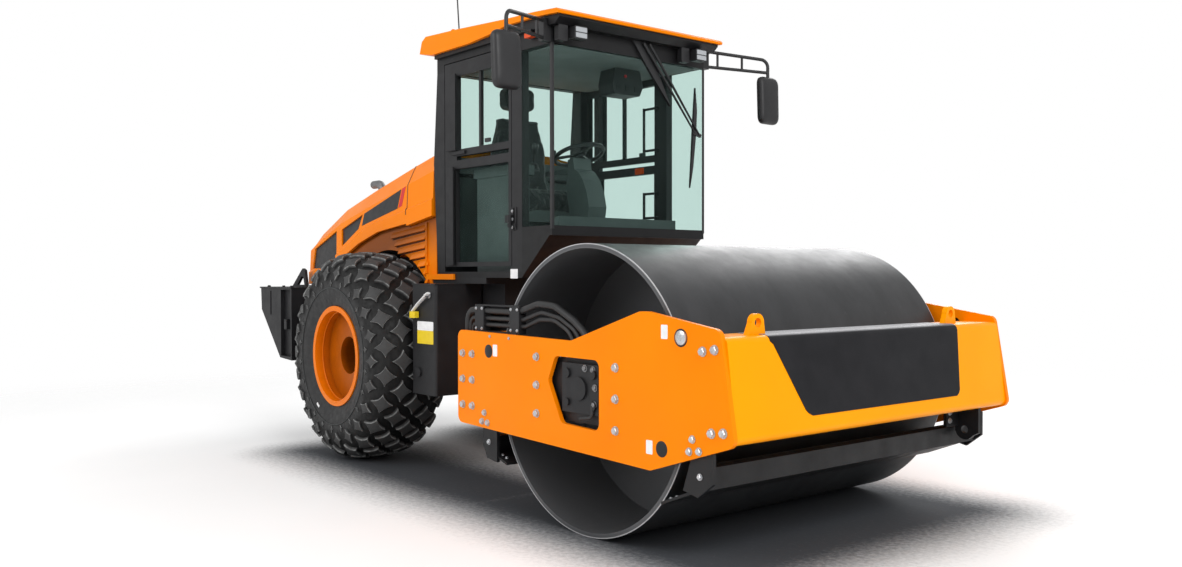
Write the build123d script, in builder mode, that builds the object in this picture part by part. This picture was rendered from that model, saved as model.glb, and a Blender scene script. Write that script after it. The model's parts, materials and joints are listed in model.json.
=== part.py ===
from build123d import *
from math import sqrt
import os

# Single-drum road roller of the thirteen-tonne class, in millimetres.
# +X is forward, +Y is the machine's left, +Z is up, and the ground is Z = 0.

# Driving dimensions
DRUM_R = 762.0
DRUM_WIDTH = 2130.0
TYRE_R = 765.0
TYRE_HALF = 290.0
WHEELBASE = 2910.0
NOSE_REACH = 1129.0  # drum axle to the foremost corner of the side plates
TAIL_REACH = 1790.0  # rear axle to the back of the bumper
TRACK_Y = 800.0  # machine's middle to the middle of a tyre
CAB_WIDTH = 1300.0
END_GAP = 60.0  # drum's end to the side plate
HITCH_BACK = 1350.0  # drum axle back to the steering pivot
HITCH_Z = 620.0
CAB_FLOOR_Z = 1340.0
CAB_TOP_Z = 2860.0

RUN = 0.3  # radial gap of a turning fit
GAP = 6.0  # face gap between pieces that move past each other
SKIN = 25.0  # thickness of the hood and panels
PLATE = 25.0  # frame plates

DRUM_X = (WHEELBASE + TAIL_REACH - NOSE_REACH) / 2
AXLE_X = DRUM_X - WHEELBASE
HITCH_X = DRUM_X - HITCH_BACK
PLATE_IN = DRUM_WIDTH / 2 + END_GAP
CAB_Y = CAB_WIDTH / 2
SIDES = (("right", -1), ("left", 1))

# Side-view planes: local x runs forward from the named axle, local y is height.
FRONT = Plane(origin=(DRUM_X, 0, 0), x_dir=(1, 0, 0), z_dir=(0, -1, 0))
REAR = Plane(origin=(AXLE_X, 0, 0), x_dir=(1, 0, 0), z_dir=(0, -1, 0))
DRUM_AXIS = Axis((DRUM_X, 0, DRUM_R), (0, 1, 0))
AXLE_AXIS = Axis((AXLE_X, 0, TYRE_R), (0, 1, 0))

os.makedirs("parts", exist_ok=True)


def block(x0, x1, y0, y1, z0, z1, mode=Mode.ADD):
    """A box given by its two corners, joined to the part being built."""
    with Locations(((x0 + x1) / 2, (y0 + y1) / 2, (z0 + z1) / 2)):
        Box(x1 - x0, abs(y1 - y0), z1 - z0, mode=mode)


def rod(start, end, radius, mode=Mode.ADD):
    """A round bar between two points."""
    run = Vector(*end) - Vector(*start)
    with Locations(Plane(origin=start, z_dir=run.normalized()).location):
        Cylinder(radius, run.length, align=(Align.CENTER, Align.CENTER, Align.MIN), mode=mode)


# ---------------------------------------------------------------- drum
SHELL = 25.0
HEAD_Y = 515.0  # outer face of the deeply recessed head plates
HEAD_T = 30.0
HUB_BORE_R = 100.0
HUB_R = 170.0
HUB_LEN = 190.0

with BuildPart() as drum_shell:
    with BuildSketch(Plane.YZ.offset(DRUM_X)):
        with Locations((0, DRUM_R + DRUM_R - SHELL / 2)):
            Rectangle(DRUM_WIDTH, SHELL)
    revolve(axis=DRUM_AXIS)
drum_shell.part.label = "drum_shell"
export_step(drum_shell.part, "parts/drum_shell.step")

with BuildPart() as drum_heads:
    with BuildSketch(Plane.YZ.offset(DRUM_X)):
        for sy in (-1, 1):
            with Locations((sy * (HEAD_Y - HEAD_T / 2), DRUM_R + (HUB_BORE_R + DRUM_R - SHELL) / 2)):
                Rectangle(HEAD_T, DRUM_R - SHELL - HUB_BORE_R)
            with Locations((sy * (HEAD_Y - HEAD_T + HUB_LEN / 2), DRUM_R + (HUB_BORE_R + HUB_R) / 2)):
                Rectangle(HUB_LEN, HUB_R - HUB_BORE_R)
    revolve(axis=DRUM_AXIS)
drum_heads.part.label = "drum_heads"
export_step(drum_heads.part, "parts/drum_heads.step")

# Each end of the drum hangs on a mount plate behind the side plate's cut-out.
MOUNT_IN = DRUM_WIDTH / 2 + 20
MOUNT_OUT = PLATE_IN - 20
STUB_Y = HEAD_Y - HEAD_T + 10
PORTS = ((40, 15, 60), (-60, 90, 26), (150, 95, 26), (150, -65, 26), (-60, -60, 20))  # dx, dz, radius
BUFFERS = ((-290, -100), (-290, 100), (290, -100), (290, 100))

for side, sy in SIDES:
    with BuildPart() as drum_mount:
        with BuildSketch(FRONT.offset(-sy * MOUNT_IN if sy < 0 else -MOUNT_OUT)):
            with Locations((0, DRUM_R)):
                RectangleRounded(720, 330, 60)
        extrude(amount=MOUNT_OUT - MOUNT_IN)
        rod((DRUM_X, sy * STUB_Y, DRUM_R), (DRUM_X, sy * MOUNT_OUT, DRUM_R), HUB_BORE_R - RUN)
        rod((DRUM_X, sy * (HEAD_Y - HEAD_T + HUB_LEN + 15), DRUM_R), (DRUM_X, sy * MOUNT_OUT, DRUM_R), HUB_R)
        for dx, dz in BUFFERS:
            start = (DRUM_X + dx, sy * MOUNT_OUT, DRUM_R + dz)
            rod(start, (DRUM_X + dx, sy * PLATE_IN, DRUM_R + dz), 45)
        # Valve block and port caps, seen through the side plate's window
        block(DRUM_X - 105, DRUM_X + 190, sy * MOUNT_OUT, sy * (PLATE_IN + 8), DRUM_R - 112, DRUM_R + 143)
        for dx, dz, radius in PORTS:
            face = (DRUM_X + dx, sy * (PLATE_IN + 8), DRUM_R + dz)
            rod(face, (DRUM_X + dx, sy * (PLATE_IN + 20), DRUM_R + dz), radius)
    drum_mount.part.label = f"drum_mount_{side}"
    export_step(drum_mount.part, f"parts/drum_mount_{side}.step")

# ---------------------------------------------------------------- front frame
PLATE_OUTLINE = ((-1091, 1036), (-15, 1020), (517, 1186), (574, 1187), (1042, 1116),
                 (1129, 613), (591, 438), (-1092, 490))
WINDOW_OUTLINE = ((-145, 936), (215, 933), (215, 577), (-92, 588), (-207, 803))
PLATE_HOLES = ((794, 1073, 30), (668, 549, 25), (-766, 925, 33))  # x, z, radius

for side, sy in SIDES:
    with BuildPart() as side_plate:
        with BuildSketch(FRONT.offset(-sy * (PLATE_IN + PLATE / 2))) as outline:
            with BuildLine():
                Polyline(*PLATE_OUTLINE, close=True)
            make_face()
            fillet(outline.vertices(), 45)
        extrude(amount=PLATE / 2, both=True)
        with BuildSketch(FRONT.offset(-sy * (PLATE_IN + PLATE / 2))) as window:
            with BuildLine():
                Polyline(*WINDOW_OUTLINE, close=True)
            make_face()
            fillet(window.vertices(), 40)
            for x, z, radius in PLATE_HOLES:
                with Locations((x, z)):
                    Circle(radius)
        extrude(amount=PLATE, both=True, mode=Mode.SUBTRACT)
    side_plate.part.label = f"side_plate_{side}"
    export_step(side_plate.part, f"parts/side_plate_{side}.step")

BEAM_LOW = 609.0
BEAM_TOP = 1085.0
BEAM_OUTLINE = ((850, BEAM_LOW), (1118, BEAM_LOW), (1058, BEAM_TOP), (850, BEAM_TOP))
LUG_Y = (-850, 750)
LUG_X = 980.0
LUG_EYE_Z = 1140.0
LUG_EYE_R = 22.0
LUG_EYE_OUT = 42.0
TOW_Y = 900.0
TOW_EYE = (1000, 482)

with BuildPart() as front_beam:
    with BuildSketch(FRONT) as section:
        with BuildLine():
            Polyline(*BEAM_OUTLINE, close=True)
        make_face()
        fillet(section.vertices().sort_by(Axis.X)[-2:], 35)
    extrude(amount=PLATE_IN, both=True)
    with BuildSketch(Plane.YZ.offset(DRUM_X + LUG_X)):
        for y in LUG_Y:
            with BuildLine():
                Polyline((y - 70, BEAM_TOP - 8), (y + 52, BEAM_TOP - 8), (y + LUG_EYE_OUT, LUG_EYE_Z),
                         (y - LUG_EYE_OUT, LUG_EYE_Z), close=True)
            make_face()
            with Locations((y, LUG_EYE_Z)):
                Circle(LUG_EYE_OUT)
                Circle(LUG_EYE_R, mode=Mode.SUBTRACT)
    extrude(amount=15, both=True)
front_beam.part.label = "front_beam"
export_step(front_beam.part, "parts/front_beam.step")

# Tie-down plate under the beam's left end, bolted through an angle
with BuildPart() as tow_plate:
    with BuildSketch(FRONT.offset(-TOW_Y)):
        with BuildLine():
            Polyline((940, BEAM_LOW), (1085, BEAM_LOW), (1085, 470), (1000, 425), (940, 470), close=True)
        make_face()
        with Locations(TOW_EYE):
            Circle(57)
            Circle(LUG_EYE_R, mode=Mode.SUBTRACT)
    extrude(amount=12, both=True)
    block(DRUM_X + 940, DRUM_X + 960, TOW_Y - 130, TOW_Y + 12, 500, BEAM_LOW)
tow_plate.part.label = "tow_plate"
export_step(tow_plate.part, "parts/tow_plate.step")

REAR_BEAM_BACK = -1085.0
BOSS_BACK = -1135.0
TRUNNION_R = 110.0

with BuildPart() as rear_beam:
    block(DRUM_X + REAR_BEAM_BACK, DRUM_X - 880, -PLATE_IN, PLATE_IN, 505, 1015)
    rod((DRUM_X + BOSS_BACK, 0, HITCH_Z), (DRUM_X - 900, 0, HITCH_Z), 165)
    rod((DRUM_X + BOSS_BACK, 0, HITCH_Z), (DRUM_X - 1000, 0, HITCH_Z), TRUNNION_R + RUN, Mode.SUBTRACT)
rear_beam.part.label = "rear_beam"
export_step(rear_beam.part, "parts/rear_beam.step")

# Scrapers: name, bracket outline, cross bar, blade from and to
SCRAPERS = (
    ("scraper_front", ((785, 372), (880, 352), (975, 425), (975, 560), (850, 560)),
     (850, 930, 390, 490), (860, 385), (628, 292)),
    ("scraper_rear", ((-863, 480), (-863, 372), (-822, 305), (-722, 292), (-722, 480)),
     (-850, -785, 335, 430), (-800, 348), (-640, 300)),
)
for name, ear, (x0, x1, z0, z1), back, tip in SCRAPERS:
    with BuildPart() as scraper:
        for sy in (-1, 1):
            with BuildSketch(FRONT.offset(-sy * (PLATE_IN - 10))):
                with BuildLine():
                    Polyline(*ear, close=True)
                make_face()
            extrude(amount=10, both=True)
        block(DRUM_X + x0, DRUM_X + x1, -PLATE_IN + 5, PLATE_IN - 5, z0, z1)
        with BuildSketch(FRONT):
            with BuildLine():
                Polyline(back, tip, (tip[0], tip[1] - 14), (back[0], back[1] - 14), close=True)
            make_face()
        extrude(amount=PLATE_IN - 10, both=True)
    scraper.part.label = name
    export_step(scraper.part, f"parts/{name}.step")

# Three hydraulic hoses run from the rear beam, through two clamps on the right plate's
# top edge, and arch forward to the drum's motor.
HOSE_Y = -(PLATE_IN + DRUM_WIDTH / 2) / 2
# radius, foot x, running height, arch points (x, z) from the drum axle
HOSES = ((19, -1062, 1154, ((-400, 1154), (-310, 1200), (-190, 1178), (-50, 1060), (-20, DRUM_R + 171))),
         (13, -1030, 1110, ((-420, 1110), (-330, 1150), (-230, 1130), (-120, 1040), (-90, DRUM_R + 169))),
         (13, -1001, 1072, ((-430, 1072), (-340, 1105), (-270, 1090), (-190, 1020), (-160, DRUM_R + 169))))
CLAMPS = ((-908, 1015), (-557, 960))  # middle, foot height
CLAMP_LEN = 90.0
CLAMP_Y0 = HOSE_Y - 25
CLAMP_Y1 = HOSE_Y + 25
CLAMP_LOW = 1036.0
CLAMP_HIGH = 1180.0

with BuildPart() as hoses:
    for radius, foot_x, run_z, arch in HOSES:
        stops = [(DRUM_X + foot_x, HOSE_Y, 1015), (DRUM_X + foot_x, HOSE_Y, run_z)]
        stops += [(DRUM_X + x, HOSE_Y, z) for x, z in arch]
        with BuildLine() as route:
            FilletPolyline(*stops, radius=30 + radius)
        with BuildSketch(Plane(origin=stops[0], z_dir=(0, 0, 1))):
            RegularPolygon(radius, 8)
        sweep(path=route.line)
hoses.part.label = "hoses"
export_step(hoses.part, "parts/hoses.step")

with BuildPart() as hose_clamps:
    for x, foot_z in CLAMPS:
        x0 = DRUM_X + x - CLAMP_LEN / 2
        block(x0, x0 + CLAMP_LEN, CLAMP_Y0, CLAMP_Y1, CLAMP_LOW, CLAMP_HIGH)
        for radius, foot_x, run_z, arch in HOSES:
            rod((x0 - 10, HOSE_Y, run_z), (x0 + CLAMP_LEN + 10, HOSE_Y, run_z), radius + RUN, Mode.SUBTRACT)
        block(x0 + 20, x0 + CLAMP_LEN - 20, -PLATE_IN, CLAMP_Y1 - 30, foot_z, CLAMP_LOW)
    for z0, z1 in ((CLAMP_LOW - 6, CLAMP_LOW), (CLAMP_HIGH, CLAMP_HIGH + 8)):
        block(DRUM_X + CLAMPS[0][0] - CLAMP_LEN / 2, DRUM_X + CLAMPS[1][0] + CLAMP_LEN / 2,
              CLAMP_Y0, CLAMP_Y1, z0, z1)
hose_clamps.part.label = "hose_clamps"
export_step(hose_clamps.part, "parts/hose_clamps.step")

# ---------------------------------------------------------------- centre joint
SLEEVE_R = 110.0
SLEEVE_HALF = 130.0
PIN_R = 55.0
EYE = (90.0, 250.0)  # steering rod eye from the pivot
BASE = (-570.0, 250.0)  # steering barrel eye from the pivot
ARM_LOW = 30.0
ARM_HIGH = 55.0

with BuildPart() as yoke:
    rod((HITCH_X, 0, HITCH_Z - SLEEVE_HALF), (HITCH_X, 0, HITCH_Z + SLEEVE_HALF), SLEEVE_R)
    block(HITCH_X, DRUM_X + BOSS_BACK - GAP - 20, -100, 100, HITCH_Z - 85, HITCH_Z + 85)
    rod((DRUM_X + BOSS_BACK - GAP - 25, 0, HITCH_Z), (DRUM_X + BOSS_BACK - GAP, 0, HITCH_Z), 165)
    rod((DRUM_X + BOSS_BACK - GAP, 0, HITCH_Z), (DRUM_X - 1010, 0, HITCH_Z), TRUNNION_R)
    with BuildSketch(Plane.XY.offset(HITCH_Z + ARM_LOW)):
        with BuildLine():
            Polyline((HITCH_X - 40, -100), (HITCH_X + EYE[0] - 50, -EYE[1]),
                     (HITCH_X + EYE[0] + 50, -EYE[1]), (HITCH_X + 150, -100),
                     (HITCH_X + 150, 100), (HITCH_X + EYE[0] + 50, EYE[1]),
                     (HITCH_X + EYE[0] - 50, EYE[1]), (HITCH_X - 40, 100), close=True)
        make_face()
        with Locations((HITCH_X + EYE[0], EYE[1]), (HITCH_X + EYE[0], -EYE[1])):
            Circle(50)
    extrude(amount=ARM_HIGH - ARM_LOW)
    rod((HITCH_X, 0, HITCH_Z - SLEEVE_HALF), (HITCH_X, 0, HITCH_Z + SLEEVE_HALF), PIN_R + RUN, Mode.SUBTRACT)
yoke.part.label = "yoke"
export_step(yoke.part, "parts/yoke.step")

# Steering cylinders, at rest along X
BARREL_R = 45.0
BORE_R = 36.0
BARREL_LEN = 450.0
ROD_R = 22.0
PIVOT_PIN_R = 20.0
base_x = HITCH_X + BASE[0]
eye_x = HITCH_X + EYE[0]

for side, sy in SIDES:
    y = sy * BASE[1]
    with BuildPart() as steer_barrel:
        rod((base_x, y, HITCH_Z - 25), (base_x, y, HITCH_Z + 25), 42)
        rod((base_x, y, HITCH_Z), (base_x + 65, y, HITCH_Z), 24)
        rod((base_x + 60, y, HITCH_Z), (base_x + BARREL_LEN, y, HITCH_Z), BARREL_R)
        rod((base_x, y, HITCH_Z - 50), (base_x, y, HITCH_Z + 50), PIVOT_PIN_R + RUN, Mode.SUBTRACT)
        rod((base_x + 70, y, HITCH_Z), (base_x + BARREL_LEN - 20, y, HITCH_Z), BORE_R, Mode.SUBTRACT)
        rod((base_x + 70, y, HITCH_Z), (base_x + BARREL_LEN, y, HITCH_Z), ROD_R + RUN, Mode.SUBTRACT)
    steer_barrel.part.label = f"steer_barrel_{side}"
    export_step(steer_barrel.part, f"parts/steer_barrel_{side}.step")
    with BuildPart() as steer_rod:
        rod((base_x + 255, y, HITCH_Z), (base_x + 285, y, HITCH_Z), BORE_R - RUN)
        rod((base_x + 255, y, HITCH_Z), (eye_x, y, HITCH_Z), ROD_R)
        rod((eye_x, y, HITCH_Z - 24), (eye_x, y, HITCH_Z + 24), 42)
        rod((eye_x, y, HITCH_Z - 24), (eye_x, y, HITCH_Z + 24), PIVOT_PIN_R + RUN, Mode.SUBTRACT)
    steer_rod.part.label = f"steer_rod_{side}"
    export_step(steer_rod.part, f"parts/steer_rod_{side}.step")

# ---------------------------------------------------------------- rear frame
RAIL_LOW = 900.0
RAIL_HIGH = 1100.0
RAIL_IN = 250.0
RAIL_OUT = 330.0
BUMPER_FRONT = -1145.0  # from the rear axle
DECK_Z = 1300.0
TANK_IN = 500.0
TANK_OUT = 880.0
TANK_BACK = TYRE_R + 50
TANK_FRONT = 1110.0
FRAME_BACK = base_x - AXLE_X - 70  # behind the steering barrels' pins
LUG_HALF = SLEEVE_HALF + 45  # half height of the fork that holds the yoke

with BuildPart() as main_frame:
    block(AXLE_X + FRAME_BACK, HITCH_X - 190, -150, 150, HITCH_Z - LUG_HALF, DECK_Z)
    block(AXLE_X + FRAME_BACK, HITCH_X - 190, -TANK_IN, TANK_IN, RAIL_HIGH, DECK_Z)
    for sy in (-1, 1):
        block(AXLE_X + BUMPER_FRONT, HITCH_X - 190, sy * RAIL_IN, sy * RAIL_OUT, RAIL_LOW, RAIL_HIGH)
        for z0, z1 in ((30, 50), (-50, -30)):
            block(base_x - 50, base_x + 50, 0, sy * (BASE[1] + 50), HITCH_Z + z0, HITCH_Z + z1)
        rod((base_x, sy * BASE[1], HITCH_Z - 50), (base_x, sy * BASE[1], HITCH_Z + 50), PIVOT_PIN_R)
    for x0, x1 in ((900, 1060), (480, 560), (BUMPER_FRONT, BUMPER_FRONT + 80)):
        block(AXLE_X + x0, AXLE_X + x1, -RAIL_IN, RAIL_IN, RAIL_LOW, RAIL_HIGH)
    for z0, z1 in ((SLEEVE_HALF + GAP, LUG_HALF), (-LUG_HALF, -SLEEVE_HALF - GAP)):
        block(HITCH_X - 200, HITCH_X, -110, 110, HITCH_Z + z0, HITCH_Z + z1)
        rod((HITCH_X, 0, HITCH_Z + z0), (HITCH_X, 0, HITCH_Z + z1), 110)
    rod((HITCH_X, 0, HITCH_Z - LUG_HALF), (HITCH_X, 0, HITCH_Z + LUG_HALF), PIN_R)
main_frame.part.label = "main_frame"
export_step(main_frame.part, "parts/main_frame.step")

for side, sy in SIDES:
    with BuildPart() as tank:
        block(AXLE_X + TANK_BACK, AXLE_X + TANK_FRONT, sy * TANK_IN, sy * TANK_OUT, 552, DECK_Z - 8)
        fillet(tank.edges().filter_by(Axis.Z).sort_by(Axis.X)[-2:], 22)
        block(AXLE_X + TANK_BACK - 5, AXLE_X + TANK_FRONT + 5, sy * TANK_IN, sy * (TANK_OUT + 5),
              DECK_Z - 8, DECK_Z)
        rod((AXLE_X + 900, sy * TANK_OUT, 700), (AXLE_X + 900, sy * (TANK_OUT + 14), 700), 32)
    tank.part.label = f"tank_{side}"
    export_step(tank.part, f"parts/tank_{side}.step")

# ---------------------------------------------------------------- bumper
BUMPER_Y = 900.0
BUMPER_TOP = 1245.0
BUMPER_OUTLINE = ((-1781, BUMPER_TOP), (BUMPER_FRONT, BUMPER_TOP), (BUMPER_FRONT, 650), (-1379, 663),
                  (-1768, 1062))
EYE_PLATE = ((-1577, BUMPER_TOP), (-1375, 1395), (-1345, 1415), (-1305, 1400), (-1263, BUMPER_TOP))
EYE_HOLE = ((-1455, 1275), (-1370, 1345), (-1335, 1345), (-1310, 1275))
EYE_PLATE_Y = 700.0

with BuildPart() as rear_bumper:
    with BuildSketch(REAR):
        with BuildLine():
            Polyline(*BUMPER_OUTLINE, close=True)
        make_face()
    extrude(amount=BUMPER_Y, both=True)
    for sy in (-1, 1):
        # Side recess towards the front, and a long slot near the rear
        block(AXLE_X - 1360, AXLE_X + BUMPER_FRONT - 18, sy * (BUMPER_Y - 35), sy * BUMPER_Y,
              680, BUMPER_TOP - 10, Mode.SUBTRACT)
        block(AXLE_X - 1580, AXLE_X - 1556, sy * (BUMPER_Y - 60), sy * BUMPER_Y, 1020, 1224, Mode.SUBTRACT)
        block(AXLE_X - 1315, AXLE_X - 1265, sy * (BUMPER_Y - 35), sy * (BUMPER_Y - 8), 904, 987)
    block(AXLE_X - TAIL_REACH, AXLE_X + BUMPER_FRONT + 6, -BUMPER_Y - 8, BUMPER_Y + 8,
          BUMPER_TOP, BUMPER_TOP + 12)
    for sy in (-1, 1):
        with BuildSketch(REAR.offset(-sy * EYE_PLATE_Y)):
            with BuildLine():
                Polyline(*EYE_PLATE, close=True)
            make_face()
            with BuildLine():
                Polyline(*EYE_HOLE, close=True)
            make_face(mode=Mode.SUBTRACT)
        extrude(amount=12, both=True)
        block(AXLE_X - 1795, AXLE_X - 1770, sy * 560, sy * 800, 1110, 1200)
        block(AXLE_X - 1610, AXLE_X - 1590, sy * 560, sy * 800, 960, 1050, Mode.SUBTRACT)
rear_bumper.part.label = "rear_bumper"
export_step(rear_bumper.part, "parts/rear_bumper.step")

# ---------------------------------------------------------------- axle, engine, arches
HUB_Y = TRACK_Y - 326
with BuildPart() as rear_axle:
    with BuildSketch(Plane.YZ.offset(AXLE_X)):
        with BuildLine():
            Polyline(*[(y, TYRE_R + r) for y, r in
                       ((-HUB_Y, 0), (-HUB_Y, 95), (-210, 110), (-100, 200), (100, 200), (210, 110),
                        (HUB_Y, 95), (HUB_Y, 0))], close=True)
        make_face()
    revolve(axis=AXLE_AXIS)
    for sy in (-1, 1):
        block(AXLE_X - 100, AXLE_X + 100, sy * RAIL_IN, sy * RAIL_OUT, TYRE_R, RAIL_LOW)
rear_axle.part.label = "rear_axle"
export_step(rear_axle.part, "parts/rear_axle.step")

with BuildPart() as engine:
    block(AXLE_X - 790, AXLE_X + 330, -RAIL_IN + 5, RAIL_IN - 5, 990, RAIL_HIGH)
    block(AXLE_X - 790, AXLE_X + 330, -RAIL_OUT, RAIL_OUT, RAIL_HIGH, 1500)
    block(AXLE_X - 1000, AXLE_X - 850, -RAIL_OUT, RAIL_OUT, RAIL_HIGH, 1480)
    block(AXLE_X - 850, AXLE_X - 790, -100, 100, 1200, 1400)
engine.part.label = "engine"
export_step(engine.part, "parts/engine.step")

ARCH_R = TYRE_R + 55
PANEL_IN = 580.0
PANEL_OUT = 620.0
with BuildPart() as wheel_arches:
    for sy in (-1, 1):
        with BuildSketch(REAR.offset(-sy * (RAIL_OUT + PANEL_IN) / 2)):
            with Locations((0, TYRE_R)):
                Circle(ARCH_R + 12)
                Circle(ARCH_R, mode=Mode.SUBTRACT)
            with Locations((0, 400)):
                Rectangle(2000, 1300, mode=Mode.SUBTRACT)
            with Locations((1100, 1200)):
                Rectangle(900, 1200, mode=Mode.SUBTRACT)
        extrude(amount=(PANEL_IN - RAIL_OUT) / 2, both=True)
wheel_arches.part.label = "wheel_arches"
export_step(wheel_arches.part, "parts/wheel_arches.step")

# ---------------------------------------------------------------- wheels
RIM_R = 345.0
# Rim with its dish: offset from the wheel's middle, outwards, and radius
RIM_SECTION = ((-268, 367), (-268, 330), (130, 330), (130, 158), (-320, 158), (-320, 60), (-300, 60),
               (-300, 138), (150, 138), (150, 330), (267, 330), (267, 367), (252, 367), (245, RIM_R),
               (-245, RIM_R), (-252, 367))
LUG_HIGH = 28.0
CARCASS_R = TYRE_R - LUG_HIGH
LUG = 118.0  # side of a tread block
# Tread rows: offset from the tyre's middle, tilt, drop below the crown, phase as a share of the pitch
LUG_ROWS = ((-222, 27, 30, 0.0), (-116, 8, 4, 0.5), (0, 0, 0, 0.0), (116, -8, 4, 0.5), (222, -27, 30, 0.0))
LUG_COUNT = 22
# Half of the carcass from bead to crown: offset from the middle, radius
CARCASS = ((250, 380), (TYRE_HALF, 510), (TYRE_HALF - 5, 625), (TYRE_HALF - 32, 675), (215, CARCASS_R - 26),
           (120, CARCASS_R))
for side, sy in SIDES:
    with BuildPart() as rim:
        with BuildSketch(Plane.YZ.offset(AXLE_X)):
            with BuildLine():
                Polyline(*[(sy * (TRACK_Y + y), TYRE_R + r) for y, r in RIM_SECTION], close=True)
            make_face()
        revolve(axis=AXLE_AXIS)
    rim.part.label = f"rim_{side}"
    export_step(rim.part, f"parts/rim_{side}.step")
    with BuildPart() as tyre:
        with BuildSketch(Plane.YZ.offset(AXLE_X)):
            with BuildLine():
                half = ((240, RIM_R),) + CARCASS
                Polyline(*[(sy * TRACK_Y + y, TYRE_R + r) for y, r in half],
                         *[(sy * TRACK_Y - y, TYRE_R + r) for y, r in reversed(half)], close=True)
            make_face()
        revolve(axis=AXLE_AXIS)
        spots = []
        for y, tilt, drop, phase in LUG_ROWS:
            for k in range(LUG_COUNT):
                turn = Location((AXLE_X, TRACK_Y * sy + y, TYRE_R), (0, 360 / LUG_COUNT * (k + phase), 0))
                lean = Location((0, 0, CARCASS_R - drop), (tilt, 0, 0))
                spots.append(turn * lean * Location((0, 0, 0), (0, 0, 45)))
        with Locations(*spots):
            Box(LUG, LUG, LUG_HIGH * 2 - 11)
    tyre.part.label = f"tyre_{side}"
    export_step(tyre.part, f"parts/tyre_{side}.step")

# ---------------------------------------------------------------- hood and cowl
SEAM = 335.0  # from the rear axle
HOOD_BACK = -1405.0
COWL_FRONT = 700.0
LIP = 12.0  # the lower band stands proud of the side
COWL_BAND = 128.0  # height of the cowl's lip
# Hood sections: x from the rear axle, half width, lip's top, side's top, rise of the chamfer, crown above it
HOOD_SECTIONS = ((COWL_FRONT, 650, 1905, 2094, 140, 30), (SEAM, 648, 1847, 2019, 138, 30),
                 (-313, 640, 1746, 1882, 130, 30), (-811, 632, 1548, 1773, 117, 28),
                 (-1290, 622, 1412, 1612, 92, 20), (HOOD_BACK, 616, 1395, 1568, 56, 14))


def hood_face(x, half, lip, side, rise, crown, low, inset):
    """Cross-section of hood and cowl at one station, taken in by an inset."""
    h = half - inset
    z = side - inset
    right = ((h + LIP, low), (h + LIP, lip - 14), (h, lip), (h - 8, z), (h - 75, z + rise),
             (h - 290, z + rise + crown))
    pts = list(right) + [(-y, z) for y, z in reversed(right)]
    with BuildSketch(Plane.YZ.offset(AXLE_X + x)) as face:
        with BuildLine():
            Polyline(*pts, close=True)
        make_face()
    return face.sketch


def hood_shell(rows, low, inset):
    """The sections of a hood-shaped solid, taken in by an inset on the sides, top and rear."""
    faces = [hood_face(*row, low, inset) for row in rows[:-1]]
    x, *sizes = rows[-1]
    faces.append(hood_face(x + inset, *sizes, low, inset))
    return faces


STACK_X = -500.0
STACK_Y = -400.0
STACK_Z = 2012.0
# Lower edge of the hood, which rises over the wheel
EDGE = ((SEAM, 1733), (249, 1726), (-114, 1688), (-441, 1606), (-731, 1500), (-900, 1430), (-1159, 1345),
        (-1345, 1285), (HOOD_BACK - 10, 1280))
GRILLES = (((-1306, 1580), (-874, 1722), (-863, 1495), (-1040, 1412), (-1345, 1414)),
           ((-777, 1728), (-395, 1835), (-463, 1722), (-766, 1590)))
REAR_GRILLE = (-480, 480, 1325, 1500)  # y from and to, z from and to
HINGE_KNUCKLE_Y = (-330, 330)
hinge_x = AXLE_X + SEAM - 4
hinge_z = 2212.0

with BuildPart() as hood:
    loft(sections=hood_shell(HOOD_SECTIONS[1:], 1200, 0), ruled=True)
    loft(sections=hood_shell(HOOD_SECTIONS[1:], 1150, SKIN), ruled=True, mode=Mode.SUBTRACT)
    rod((AXLE_X + STACK_X, STACK_Y, STACK_Z - 90), (AXLE_X + STACK_X, STACK_Y, STACK_Z), 46)
    with BuildSketch(REAR):
        with BuildLine():
            Polyline(*EDGE, (-1500, 1280), (-1500, 1000), (600, 1000), (600, 1733), close=True)
        make_face()
        for corners in GRILLES:
            with BuildLine():
                Polyline(*corners, close=True)
            make_face()
    extrude(amount=900, both=True, mode=Mode.SUBTRACT)
    block(AXLE_X + HOOD_BACK - 10, AXLE_X + HOOD_BACK + 50, *REAR_GRILLE, Mode.SUBTRACT)
    for y in HINGE_KNUCKLE_Y:
        rod((hinge_x, y - 45, hinge_z), (hinge_x, y - 5, hinge_z), 14)
        block(AXLE_X + SEAM - 60, hinge_x, y - 45, y - 5, hinge_z - 30, hinge_z)
hood.part.label = "hood"
export_step(hood.part, "parts/hood.step")

# Mesh behind the side windows, and slats in the rear opening
with BuildPart() as hood_grilles:
    loft(sections=hood_shell(HOOD_SECTIONS[1:], 1150, 12), ruled=True)
    loft(sections=hood_shell(HOOD_SECTIONS[1:], 1100, 18), ruled=True, mode=Mode.SUBTRACT)
    with BuildSketch(REAR):
        for corners in GRILLES:
            with BuildLine():
                Polyline(*corners, close=True)
            make_face()
    extrude(amount=900, both=True, mode=Mode.INTERSECT)
    y0, y1, z0, z1 = REAR_GRILLE
    pitch = (z1 - z0) / 5
    for k in range(5):
        slat_z = z0 + k * pitch + 8
        block(AXLE_X + HOOD_BACK + 2, AXLE_X + HOOD_BACK + 20, y0, y1, slat_z, slat_z + 12)
hood_grilles.part.label = "hood_grilles"
export_step(hood_grilles.part, "parts/hood_grilles.step")

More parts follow.
